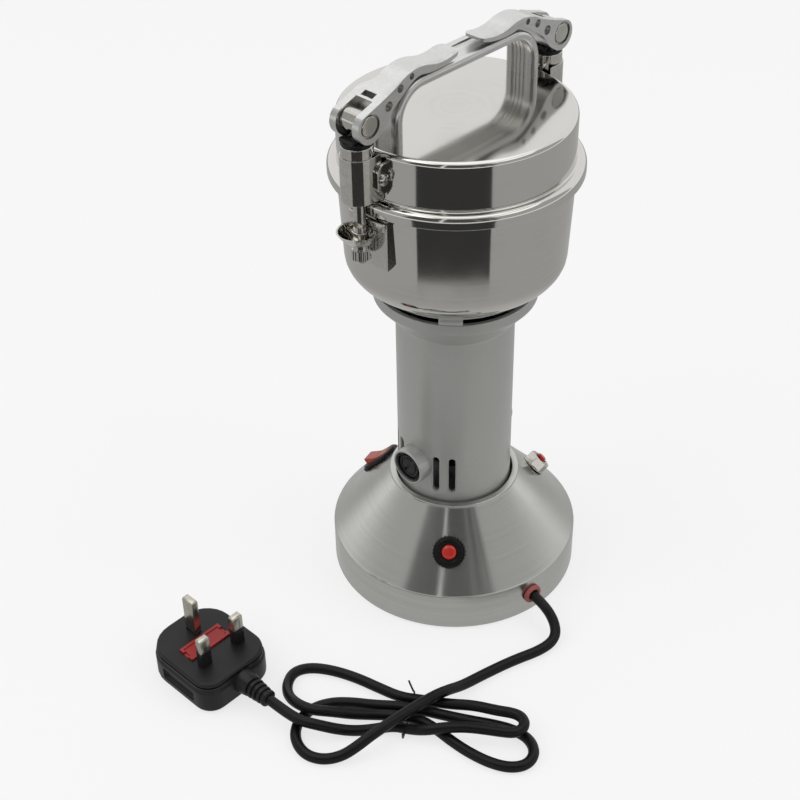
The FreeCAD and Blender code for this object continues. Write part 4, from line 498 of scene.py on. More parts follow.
    def finish(
        self,
        body: str,
        finish: "Finish",
        stands_for: Sequence[str] = (),
        smooth: float = 35.0,
        even: bool = False,
    ) -> bpy.types.Object:
        """Shade, dress and hand over the piece.

        Args:
            body: The CAD body it rides on.
            finish: Its finish.
            stands_for: The CAD nodes it replaces.
            smooth: The angle up to which neighbouring faces shade as one, in degrees.
            even: Whether large flat faces lead the shading.

        Returns:
            The finished object.
        """
        self.select()
        bpy.ops.object.shade_smooth_by_angle(angle=math.radians(smooth))
        if even:
            self.weigh_normals()
        self.obj.data.name = self.obj.name
        self.obj.data.materials.clear()
        self.obj.data.materials.append(finish.material())
        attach(self.obj, body)
        if stands_for:
            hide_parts(*stands_for)
        log.info("%s on %s, %d faces", self.obj.name, body, len(self.obj.data.polygons))
        return self.obj


# Materials


class Wiring:
    """Short calls that add nodes to a tree and join them."""

    def __init__(self, tree: bpy.types.NodeTree) -> None:
        """Keep the tree that is wired."""
        self.tree = tree

    def add(self, kind: str, inputs: dict | None = None, **settings: object) -> bpy.types.Node:
        """Add a node, set it up and join its inputs.

        Args:
            kind: The node's type without its prefix.
            inputs: Values or sockets by the input's name or number.
            settings: The node's own settings.

        Returns:
            The node.
        """
        node = self.tree.nodes.new("ShaderNode" + kind)
        for key, value in settings.items():
            setattr(node, key, value)
        for key, value in (inputs or {}).items():
            if isinstance(value, bpy.types.NodeSocket):
                self.tree.links.new(value, node.inputs[key])
            else:
                node.inputs[key].default_value = value
        return node

    def sum_up(self, operation: str, *values: object) -> bpy.types.NodeSocket:
        """Return the result of a Math node on values or sockets."""
        return self.add("Math", dict(enumerate(values)), operation=operation).outputs[0]

    def spread(self, value: object, low: float, high: float) -> bpy.types.NodeSocket:
        """Return a 0 to 1 value spread between two limits."""
        node = self.add("MapRange", {"Value": value, "To Min": low, "To Max": high})
        return node.outputs[0]

    def window(self, value: object, low: float, high: float) -> bpy.types.NodeSocket:
        """Return 0 below one limit, 1 above the other and a smooth step between."""
        inputs = {"Value": value, "From Min": low, "From Max": high}
        return self.add("MapRange", inputs, interpolation_type="SMOOTHSTEP").outputs[0]

    def tint(self, share: object, first: object, second: object) -> bpy.types.NodeSocket:
        """Return a colour between two colours."""
        node = self.add("Mix", {0: share, 6: first, 7: second}, data_type="RGBA")
        return node.outputs[2]

    def noise(self, where: object, scale: float, detail: float = 3.0) -> bpy.types.NodeSocket:
        """Return smooth noise at a place."""
        inputs = {"Vector": where, "Scale": scale, "Detail": detail, "Roughness": 0.55}
        return self.add("TexNoise", inputs).outputs[0]

    def place(self) -> bpy.types.NodeSocket:
        """Return the place on the object."""
        return self.add("TexCoord").outputs["Object"]

    def combined(self, x: object, y: object, z: object) -> bpy.types.NodeSocket:
        """Return a vector of three values."""
        return self.add("CombineXYZ", {0: x, 1: y, 2: z}).outputs[0]


def rgba(colour: Sequence[float]) -> tuple[float, float, float, float]:
    """Return a colour with full alpha."""
    return (colour[0], colour[1], colour[2], 1.0)


class Effects:
    """The shader node groups that the finishes share, each built once."""

    _made: dict[str, bpy.types.NodeTree] = {}

    @classmethod
    def group(
        cls,
        name: str,
        inputs: dict[str, float],
        outputs: Sequence[str],
        draw: Callable[[Wiring, bpy.types.Node], Sequence[bpy.types.NodeSocket]],
    ) -> bpy.types.NodeTree:
        """Return a named group, building it at the first call.

        Args:
            name: The group's name.
            inputs: Its inputs with their usual values.
            outputs: Its outputs.
            draw: What wires it, given the wiring and the input node.

        Returns:
            The group.
        """
        if name in cls._made:
            return cls._made[name]
        tree = bpy.data.node_groups.new(name, "ShaderNodeTree")
        for label, value in inputs.items():
            socket = tree.interface.new_socket(
                name=label, in_out="INPUT", socket_type="NodeSocketFloat"
            )
            socket.default_value = value
        for label in outputs:
            tree.interface.new_socket(name=label, in_out="OUTPUT", socket_type="NodeSocketFloat")
        source = tree.nodes.new("NodeGroupInput")
        sink = tree.nodes.new("NodeGroupOutput")
        for socket, label in zip(draw(Wiring(tree), source), outputs):
            tree.links.new(socket, sink.inputs[label])
        cls._made[name] = tree
        return tree

    @classmethod
    def spun_grain(cls) -> bpy.types.NodeTree:
        """Return fine circles about the mill's axis, as a spinning lathe leaves them."""

        def draw(w: Wiring, source: bpy.types.Node) -> Sequence[bpy.types.NodeSocket]:
            """Wire noise that runs along circles."""
            parts = w.add("SeparateXYZ", {0: w.place()}).outputs
            squares = w.sum_up("ADD", w.sum_up("POWER", parts[0], 2.0), w.sum_up("POWER", parts[1], 2.0))
            radius = w.sum_up("MULTIPLY", w.sum_up("SQRT", squares), source.outputs["Fineness"])
            height = w.sum_up("MULTIPLY", parts[2], source.outputs["Fineness"])
            drift = w.sum_up("MULTIPLY", w.sum_up("ADD", parts[0], parts[1]), 9.0)
            fine = w.noise(w.combined(radius, height, drift), 1.0, 4.0)
            broad = w.noise(w.combined(radius, height, drift), 0.12, 2.0)
            return (w.sum_up("ADD", w.sum_up("MULTIPLY", fine, 0.7), w.sum_up("MULTIPLY", broad, 0.3)),)

        return cls.group("spun_grain", {"Fineness": 2600.0}, ("Height",), draw)

    @classmethod
    def lined_grain(cls) -> bpy.types.NodeTree:
        """Return fine straight lines along X, as a brush or a die leaves them."""

        def draw(w: Wiring, source: bpy.types.Node) -> Sequence[bpy.types.NodeSocket]:
            """Wire noise that is drawn out along X."""
            parts = w.add("SeparateXYZ", {0: w.place()}).outputs
            along = w.sum_up("MULTIPLY", parts[0], 40.0)
            across = w.sum_up("MULTIPLY", parts[1], source.outputs["Fineness"])
            height = w.sum_up("MULTIPLY", parts[2], source.outputs["Fineness"])
            return (w.noise(w.combined(along, across, height), 1.0, 4.0),)

        return cls.group("lined_grain", {"Fineness": 2200.0}, ("Height",), draw)

    @classmethod
    def pebble(cls) -> bpy.types.NodeTree:
        """Return the small even bumps of a moulded, painted or cast surface."""

        def draw(w: Wiring, source: bpy.types.Node) -> Sequence[bpy.types.NodeSocket]:
            """Wire noise of two sizes."""
            place = w.place()
            inputs = {"Vector": place, "Scale": source.outputs["Fineness"], "Detail": 2.0}
            fine = w.add("TexNoise", inputs).outputs[0]
            slow = w.sum_up("MULTIPLY", source.outputs["Fineness"], 0.22)
            broad = w.add("TexNoise", {"Vector": place, "Scale": slow, "Detail": 1.0}).outputs[0]
            return (w.sum_up("ADD", w.sum_up("MULTIPLY", fine, 0.6), w.sum_up("MULTIPLY", broad, 0.4)),)

        return cls.group("pebble", {"Fineness": 1500.0}, ("Height",), draw)

    @classmethod
    def handling(cls) -> bpy.types.NodeTree:
        """Return soft smudges and sparse fine scratches."""

        def draw(w: Wiring, source: bpy.types.Node) -> Sequence[bpy.types.NodeSocket]:
            """Wire blotches and thin stretched streaks."""
            place = w.place()
            scale = source.outputs["Size"]
            blot = w.add("TexNoise", {"Vector": place, "Scale": scale, "Detail": 3.0}).outputs[0]
            smudge = w.window(blot, 0.42, 0.66)
            turned = w.add("Mapping", {"Vector": place, "Rotation": (0.4, 0.9, 0.5), "Scale": (60.0, 1900.0, 900.0)})
            streak = w.noise(turned.outputs[0], 1.0, 1.0)
            return smudge, w.window(streak, 0.72, 0.8)

        return cls.group("handling", {"Size": 26.0}, ("Smudge", "Scratch"), draw)

    @classmethod
    def edge_wear(cls) -> bpy.types.NodeTree:
        """Return a mask of worn outer edges, broken up by noise."""

        def draw(w: Wiring, source: bpy.types.Node) -> Sequence[bpy.types.NodeSocket]:
            """Wire the bulge of the surface times noise."""
            bulge = w.add("NewGeometry").outputs["Pointiness"]
            edge = w.window(bulge, 0.515, 0.56)
            breaks = w.spread(w.noise(w.place(), 420.0, 3.0), 0.35, 1.25)
            return (w.sum_up("MULTIPLY", w.sum_up("MULTIPLY", edge, breaks), source.outputs["Amount"]),)

        return cls.group("edge_wear", {"Amount": 1.0}, ("Wear",), draw)


@dataclass(frozen=True)
class Finish:
    """A surface finish: what it is made of, and its grain, smudges and worn edges."""

    name: str
    slot: str
    colour: tuple[float, float, float]
    stain: tuple[float, float, float]
    metallic: float = 0.0
    roughness: tuple[float, float] = (0.4, 0.5)
    grain: Grain = Grain.MOULDED
    fineness: float = 1500.0
    relief: float = 0.02
    smudge_size: float = 26.0
    smudges: float = 0.5
    worn: float = 0.0
    worn_colour: tuple[float, float, float] = (0.8, 0.8, 0.8)
    anisotropy: float = 0.0
    coat: float = 0.0
    specular: float = 0.5
    grain_tint: float = 0.86

    def material(self) -> bpy.types.Material:
        """Return the material, building it at the first call."""
        found = bpy.data.materials.get(self.name)
        return found if found is not None else self._build()

    def _build(self) -> bpy.types.Material:
        """Build the material's nodes and return it."""
        material = bpy.data.materials.new(self.name)
        material.use_nodes = True
        tree = material.node_tree
        tree.nodes.clear()
        w = Wiring(tree)
        height = self._grain(w)
        handled = self._effect(w, Effects.handling(), {"Size": self.smudge_size})
        smudge = w.sum_up("MULTIPLY", handled.outputs["Smudge"], self.smudges)
        scratch = w.sum_up("MULTIPLY", handled.outputs["Scratch"], self.smudges)
        colour = w.tint(smudge, rgba(self.colour), rgba(self.stain))
        dark = tuple(self.grain_tint * part for part in self.colour)
        colour = w.tint(w.window(height, 0.62, 0.4), colour, rgba(dark)) if self.metallic else colour
        if self.worn:
            wear = self._effect(w, Effects.edge_wear(), {"Amount": self.worn}).outputs[0]
            colour = w.tint(wear, colour, rgba(self.worn_colour))
        low, high = self.roughness
        rough = w.spread(w.sum_up("ADD", smudge, w.sum_up("MULTIPLY", scratch, 0.5)), low, high)
        bump = w.add("Bump", {"Height": height, "Strength": 1.0, "Distance": self.relief * MM})
        shader = w.add("BsdfPrincipled", {
            "Base Color": colour,
            "Roughness": rough,
            "Normal": bump.outputs[0],
            "Metallic": self.metallic,
            "Anisotropic": self.anisotropy,
            "Anisotropic Rotation": 0.25,
            "Coat Weight": self.coat,
            "Coat Roughness": 0.12,
            "Specular IOR Level": self.specular,
        })
        if self.anisotropy:
            tangent = w.add("Tangent", direction_type="RADIAL", axis="Z")
            tree.links.new(tangent.outputs[0], shader.inputs["Tangent"])
        output = w.add("OutputMaterial")
        tree.links.new(shader.outputs[0], output.inputs[0])
        return material

    def _effect(
        self, w: Wiring, group: bpy.types.NodeTree, inputs: dict[str, float]
    ) -> bpy.types.Node:
        """Return a group placed in the material with its own values."""
        node = w.add("Group", node_tree=group)
        for label, value in inputs.items():
            node.inputs[label].default_value = value
        return node

    def _grain(self, w: Wiring) -> bpy.types.NodeSocket:
        """Return the height of the finish's grain."""
        groups = {
            Grain.SPUN: Effects.spun_grain,
            Grain.LINED: Effects.lined_grain,
            Grain.CAST: Effects.pebble,
            Grain.MOULDED: Effects.pebble,
        }
        node = self._effect(w, groups[self.grain](), {"Fineness": self.fineness})
        return node.outputs["Height"]


STEEL = (0.63, 0.62, 0.59)
STEEL_DULL = (0.53, 0.52, 0.49)

POLISHED = Finish(
    "polished_steel_spun", "polished_steel", STEEL, STEEL_DULL, metallic=1.0,
    roughness=(0.07, 0.12), grain=Grain.SPUN, fineness=3000.0, relief=0.00012,
    smudge_size=34.0, smudges=0.5, anisotropy=0.2, grain_tint=0.995)
LID_STEEL = Finish(
    "polished_steel_lid", "polished_steel", STEEL, STEEL_DULL, metallic=1.0,
    roughness=(0.09, 0.15), grain=Grain.SPUN, fineness=3000.0, relief=0.00015,
    smudge_size=30.0, smudges=0.4, anisotropy=0.2, grain_tint=0.995)
BRACKET_STEEL = Finish(
    "polished_steel_bent", "polished_steel", (0.6, 0.59, 0.56), STEEL_DULL, metallic=1.0,
    roughness=(0.12, 0.2), grain=Grain.LINED, fineness=1200.0, relief=0.001, smudges=0.6)
BASE_ALUMINIUM = Finish(
    "spun_aluminium", "base_metal", (0.56, 0.56, 0.54), (0.47, 0.47, 0.45), metallic=1.0,
    roughness=(0.2, 0.26), grain=Grain.SPUN, fineness=2600.0, relief=0.0012,
    smudge_size=22.0, smudges=0.5, anisotropy=0.88, grain_tint=0.93)
COLUMN_PAINT = Finish(
    "silver_column_paint", "housing_paint", (0.42, 0.425, 0.405), (0.39, 0.395, 0.375),
    metallic=0.5, roughness=(0.3, 0.37), grain=Grain.CAST, fineness=2600.0, relief=0.0015,
    smudge_size=18.0, smudges=0.5, worn=0.4, worn_colour=(0.5, 0.5, 0.48), coat=0.1,
    grain_tint=0.97)
SATIN_ALUMINIUM = Finish(
    "satin_cast_aluminium", "handle_metal", (0.6, 0.6, 0.59), (0.52, 0.52, 0.51),
    metallic=1.0, roughness=(0.3, 0.4), grain=Grain.CAST, fineness=3200.0, relief=0.004,
    smudge_size=40.0, smudges=0.5, worn=0.4, worn_colour=(0.8, 0.8, 0.79))
DRAWN_ALUMINIUM = Finish(
    "drawn_aluminium", "handle_metal", (0.7, 0.7, 0.69), (0.6, 0.6, 0.59), metallic=1.0,
    roughness=(0.28, 0.38), grain=Grain.LINED, fineness=1800.0, relief=0.003,
    smudge_size=30.0, smudges=0.5)
NICKEL = Finish(
    "bright_nickel", "bright_metal", (0.64, 0.62, 0.58), (0.52, 0.5, 0.46), metallic=1.0,
    roughness=(0.08, 0.16), grain=Grain.CAST, fineness=900.0, relief=0.002,
    smudge_size=60.0, smudges=0.6)
SCREW_STEEL = Finish(
    "zinc_screw_steel", "screw_steel", (0.55, 0.55, 0.54), (0.42, 0.42, 0.41), metallic=1.0,
    roughness=(0.2, 0.3), grain=Grain.CAST, fineness=1800.0, relief=0.003, smudge_size=90.0)
INNER_STEEL = Finish(
    "ground_steel", "inner_steel", (0.5, 0.5, 0.5), (0.4, 0.4, 0.4), metallic=1.0,
    roughness=(0.25, 0.36), grain=Grain.SPUN, fineness=1600.0, relief=0.003)
# Stacked laminations: a dark steel colour, darkened further so that the column's vents read black, which is painted
# shade inside the column.
LAMINATION_WITH_PAINTED_SHADE = Finish(
    "stacked_laminations_painted_shade", "laminations", (0.05, 0.05, 0.052), (0.07, 0.055, 0.045), metallic=0.8,
    roughness=(0.45, 0.6), grain=Grain.SPUN, fineness=1300.0, relief=0.03)
COPPER = Finish(
    "enamelled_copper", "copper", (0.52, 0.2, 0.08), (0.4, 0.13, 0.05), metallic=0.9,
    roughness=(0.28, 0.4), grain=Grain.SPUN, fineness=1100.0, relief=0.08)
INNER_CAST = Finish(
    "inner_cast_aluminium", "inner_metal", (0.4, 0.4, 0.4), (0.33, 0.33, 0.33), metallic=0.9,
    roughness=(0.4, 0.55), grain=Grain.CAST, fineness=1200.0, relief=0.02)
CARBON = Finish(
    "pressed_carbon", "carbon", (0.03, 0.03, 0.032), (0.05, 0.05, 0.05), metallic=0.2,
    roughness=(0.5, 0.7), grain=Grain.CAST, fineness=2200.0, relief=0.01)
BLACK_PLASTIC = Finish(
    "black_moulding", "black_plastic", (0.006, 0.006, 0.006), (0.012, 0.012, 0.012),
    roughness=(0.26, 0.4), fineness=1800.0, relief=0.004, smudge_size=60.0,
    worn=0.3, worn_colour=(0.03, 0.03, 0.03), specular=0.25)
PLUG_PLASTIC = Finish(
    "plug_moulding", "plug_plastic", (0.007, 0.007, 0.008), (0.012, 0.012, 0.013),
    roughness=(0.34, 0.5), fineness=2400.0, relief=0.008, smudge_size=45.0,
    worn=0.25, worn_colour=(0.03, 0.03, 0.032), specular=0.3)
BLACK_RUBBER = Finish(
    "dull_black_rubber", "black_rubber", (0.02, 0.02, 0.02), (0.035, 0.035, 0.034),
    roughness=(0.6, 0.75), fineness=1600.0, relief=0.015)
PALE_RUBBER = Finish(
    "pale_silicone", "white_rubber", (0.72, 0.71, 0.68), (0.64, 0.63, 0.6),
    roughness=(0.45, 0.6), fineness=900.0, relief=0.01)
RED_PLASTIC = Finish(
    "red_button_plastic", "red_plastic", (0.52, 0.016, 0.006), (0.42, 0.014, 0.006),
    roughness=(0.2, 0.32), fineness=1400.0, relief=0.004, smudge_size=70.0, coat=0.3)
ROCKER_RED = Finish(
    "rocker_red_plastic", "red_plastic", (0.36, 0.035, 0.012), (0.28, 0.03, 0.012),
    roughness=(0.26, 0.38), fineness=1400.0, relief=0.006, smudge_size=70.0, coat=0.2)
FUSE_RED = Finish(
    "fuse_cover_red", "fuse_red", (0.34, 0.012, 0.012), (0.27, 0.01, 0.01),
    roughness=(0.34, 0.46), fineness=1500.0, relief=0.006, smudge_size=70.0)
GROMMET_RED = Finish(
    "dusty_red_rubber", "grommet_pink", (0.33, 0.075, 0.07), (0.4, 0.12, 0.11),
    roughness=(0.5, 0.62), fineness=1500.0, relief=0.01, smudge_size=90.0)
CORD_BLACK = Finish(
    "black_cord_sheath", "cord_black", (0.004, 0.004, 0.004), (0.009, 0.009, 0.009),
    roughness=(0.36, 0.5), fineness=1900.0, relief=0.01, smudge_size=55.0, specular=0.22)
TIE_BLACK = Finish(
    "coated_tie_wire", "tie_wire", (0.012, 0.012, 0.012), (0.03, 0.03, 0.03),
    roughness=(0.35, 0.5), fineness=2600.0, relief=0.006)
PIN_NICKEL = Finish(
    "nickel_plug_pins", "pin_nickel", (0.58, 0.55, 0.48), (0.48, 0.45, 0.38), metallic=1.0,
    roughness=(0.2, 0.3), grain=Grain.LINED, fineness=900.0, relief=0.003, smudge_size=80.0)


# Camera, light and floor


@dataclass
class Studio:
    """The camera at the photograph's place, with a pale floor and soft light."""

    lens_px: float = 1534.0
    picture_px: float = 800.0
    sensor: float = 36.0
    eye: tuple[float, float, float] = (-0.487057, -0.438548, 0.603194)
    heading: tuple[float, float, float] = (0.567239, 0.558594, -0.605155)
    roll: float = 1.13
    ambient: float = 0.52
    dark_near: float = 326.0
    dark_sides: tuple[float, float] = (-36.0, 32.0)

    def build(self) -> None:
        """Make the camera, the world, the floor, the lamps and the dark room's edge."""
        self._camera()
        self._world()
        self._floor()
        self._lamp("key_light", (-1.4, 0.8, 1.9), 2.0, 16.0)
        self._lamp("side_light", (0.8, -1.5, 1.6), 1.7, 10.0)
        self._lamp("top_light", (0.4, 0.35, 2.3), 1.8, 5.0)
        self._ground()
        self._backdrop()
        scene = bpy.context.scene
        scene.view_settings.view_transform = "Standard"
        log.info("studio ready")

    def _camera(self) -> None:
        """Put the camera where the photograph was taken."""
        data = bpy.data.cameras.new("photo_camera")
        data.sensor_width = self.sensor
        data.lens = self.lens_px / self.picture_px * self.sensor
        data.clip_start = 0.05
        data.clip_end = 50.0
        camera = bpy.data.objects.new("photo_camera", data)
        bpy.context.scene.collection.objects.link(camera)
        ahead = Vector(self.heading).normalized()
        right = ahead.cross(Vector((0.0, 0.0, 1.0))).normalized()
        up = right.cross(ahead)
        c, s = math.cos(math.radians(self.roll)), math.sin(math.radians(self.roll))
        right, up = c * right - s * up, s * right + c * up
        place = Matrix((right, up, -ahead)).transposed().to_4x4()
        place.translation = Vector(self.eye)
        camera.matrix_world = place
        bpy.context.scene.camera = camera

    def _seen(self, w: Wiring) -> bpy.types.NodeSocket:
        """Return 1 for rays that show a background, seen straight or in a reflection."""
        rays = w.add("LightPath").outputs
        both = w.sum_up("MAXIMUM", rays["Is Camera Ray"], rays["Is Glossy Ray"])
        return w.sum_up("MAXIMUM", both, rays["Is Transmission Ray"])

    def _world(self) -> None:
        """Make the world: white where it is seen, plain soft light elsewhere."""
        world = bpy.data.worlds.new("studio_world")
        bpy.context.scene.world = world
        world.use_nodes = True
        world.node_tree.nodes.clear()
        w = Wiring(world.node_tree)
        strength = w.spread(self._seen(w), self.ambient, 1.0)
        light = w.add("Background", {"Color": (1.0, 1.0, 1.0, 1.0), "Strength": strength})
        output = w.add("OutputWorld")
        world.node_tree.links.new(light.outputs[0], output.inputs[0])

    def _floor(self) -> None:
        """Lay the plain pale floor, white in the picture but for the object's shadow."""
        clear_selection()
        bpy.ops.mesh.primitive_plane_add(size=14.0)
        floor = bpy.context.object
        floor.name = "studio_floor"
        material = bpy.data.materials.new("pale_floor")
        material.use_nodes = True
        material.node_tree.nodes.clear()
        w = Wiring(material.node_tree)
        lit = w.add("BsdfDiffuse", {"Color": (0.9, 0.9, 0.9, 1.0)})
        glow = w.add("Emission", {"Color": (1.0, 1.0, 1.0, 1.0), "Strength": 1.0})
        share = w.sum_up("MULTIPLY", self._seen(w), 0.72)
        mixed = w.add("MixShader", {0: share, 1: lit.outputs[0], 2: glow.outputs[0]})
        output = w.add("OutputMaterial")
        material.node_tree.links.new(mixed.outputs[0], output.inputs[0])
        floor.data.materials.append(material)

    def _lamp(self, name: str, place: tuple[float, float, float], size: float, power: float) -> None:
        """Hang one soft lamp that faces the mill.

        Args:
            name: The lamp's name.
            place: Where it hangs, in metres.
            size: Its width in metres.
            power: Its power in watts.
        """
        data = bpy.data.lights.new(name, "AREA")
        data.size = size
        data.energy = power
        lamp = bpy.data.objects.new(name, data)
        bpy.context.scene.collection.objects.link(lamp)
        aim = Vector((0.0, 0.0, 0.15)) - Vector(place)
        lamp.rotation_mode = "QUATERNION"
        lamp.rotation_quaternion = aim.to_track_quat("-Z", "Y")
        lamp.location = place

    @property
    def camera_side(self) -> float:
        """The direction of the camera from the mill's axis, in degrees."""
        return math.degrees(math.atan2(self.eye[1], self.eye[0]))

    def _ground(self) -> None:
        """Lay the grey sheet and the dark ground beyond it, which only reflections see."""
        clear_selection()
        bpy.ops.mesh.primitive_circle_add(vertices=96, radius=2.6, fill_type="NGON", location=(0, 0, 0.0008))
        self._reflected(bpy.context.object, "grey_ground", self._grey_ground)
        dark = Shape("dark_ground", (self.dark_near, 0.0, 1.7))
        dark.extrude((1250.0, 0.0, 0.0))
        bpy.ops.mesh.select_all(action="SELECT")
        first, last = self.dark_sides
        bpy.ops.mesh.spin(
            steps=48, dupli=False, angle=math.radians(last - first), center=(0.0, 0.0, 0.0),
            axis=(0.0, 0.0, -1.0))
        dark.mend()
        dark.place(turn_about_z(self.camera_side + first))
        self._reflected(dark.obj, "dark_ground", lambda w: 0.045)

    def _backdrop(self) -> None:
        """Stand a curved grey backdrop behind the camera, which only reflections see."""
        drape = Shape("grey_backdrop", (1500.0, 0.0, 420.0))
        drape.extrude((0.0, 0.0, 2500.0))
        bpy.ops.mesh.select_all(action="SELECT")
        bpy.ops.mesh.spin(
            steps=72, dupli=False, angle=math.radians(220.0), center=(0.0, 0.0, 0.0), axis=(0.0, 0.0, -1.0))
        drape.mend()
        drape.place(turn_about_z(self.camera_side - 110.0))
        self._reflected(drape.obj, "grey_backdrop", self._banded)

    def _grey_ground(self, w: Wiring) -> bpy.types.NodeSocket:
        """Return the sheet's glow, which fades towards the foot of the mill."""
        parts = w.add("SeparateXYZ", {0: w.place()}).outputs
        squares = w.sum_up("ADD", w.sum_up("POWER", parts[0], 2.0), w.sum_up("POWER", parts[1], 2.0))
        return w.spread(w.window(w.sum_up("SQRT", squares), 0.1, 0.3), 0.56, 0.44)

    def _banded(self, w: Wiring) -> bpy.types.NodeSocket:
        """Return the backdrop's glow: grey, with a dark band and two thin bright gaps in it."""
        parts = w.add("SeparateXYZ", {0: w.place()}).outputs
        side = math.radians(self.camera_side)
        ahead = w.sum_up("ADD", w.sum_up("MULTIPLY", parts[0], math.cos(side)),
                         w.sum_up("MULTIPLY", parts[1], math.sin(side)))
        across = w.sum_up("SUBTRACT", w.sum_up("MULTIPLY", parts[1], math.cos(side)),
                          w.sum_up("MULTIPLY", parts[0], math.sin(side)))
        angle = w.sum_up("MULTIPLY", w.sum_up("ARCTAN2", across, ahead), 57.3)
        glow: object = 0.45
        for middle, half, soft, level in ((-4.0, 36.0, 6.0, -0.36), (-12.0, 0.6, 1.2, 1.1), (19.0, 1.0, 2.5, 0.12), (29.0, 0.6, 1.2, 0.2)):
            away = w.sum_up("ABSOLUTE", w.sum_up("SUBTRACT", angle, middle))
            glow = w.sum_up("ADD", glow, w.spread(w.window(away, half + soft, half), 0.0, level))
        return glow

    def _reflected(
        self, card: bpy.types.Object, name: str, glow: Callable[[Wiring], object]
    ) -> None:
        """Make an object a glowing card that only reflections see.

        Args:
            card: The object.
            name: Its name and its material's.
            glow: What wires its strength.
        """
        card.name = name
        material = bpy.data.materials.new(name)
        material.use_nodes = True
        material.node_tree.nodes.clear()
        w = Wiring(material.node_tree)
        light = w.add("Emission", {"Color": (1.0, 1.0, 0.985, 1.0), "Strength": glow(w)})
        output = w.add("OutputMaterial")
        material.node_tree.links.new(light.outputs[0], output.inputs[0])
        card.data.materials.append(material)
        card.visible_camera = False
        card.visible_diffuse = False
        card.visible_shadow = False
        card.visible_transmission = False


# Cord and plug


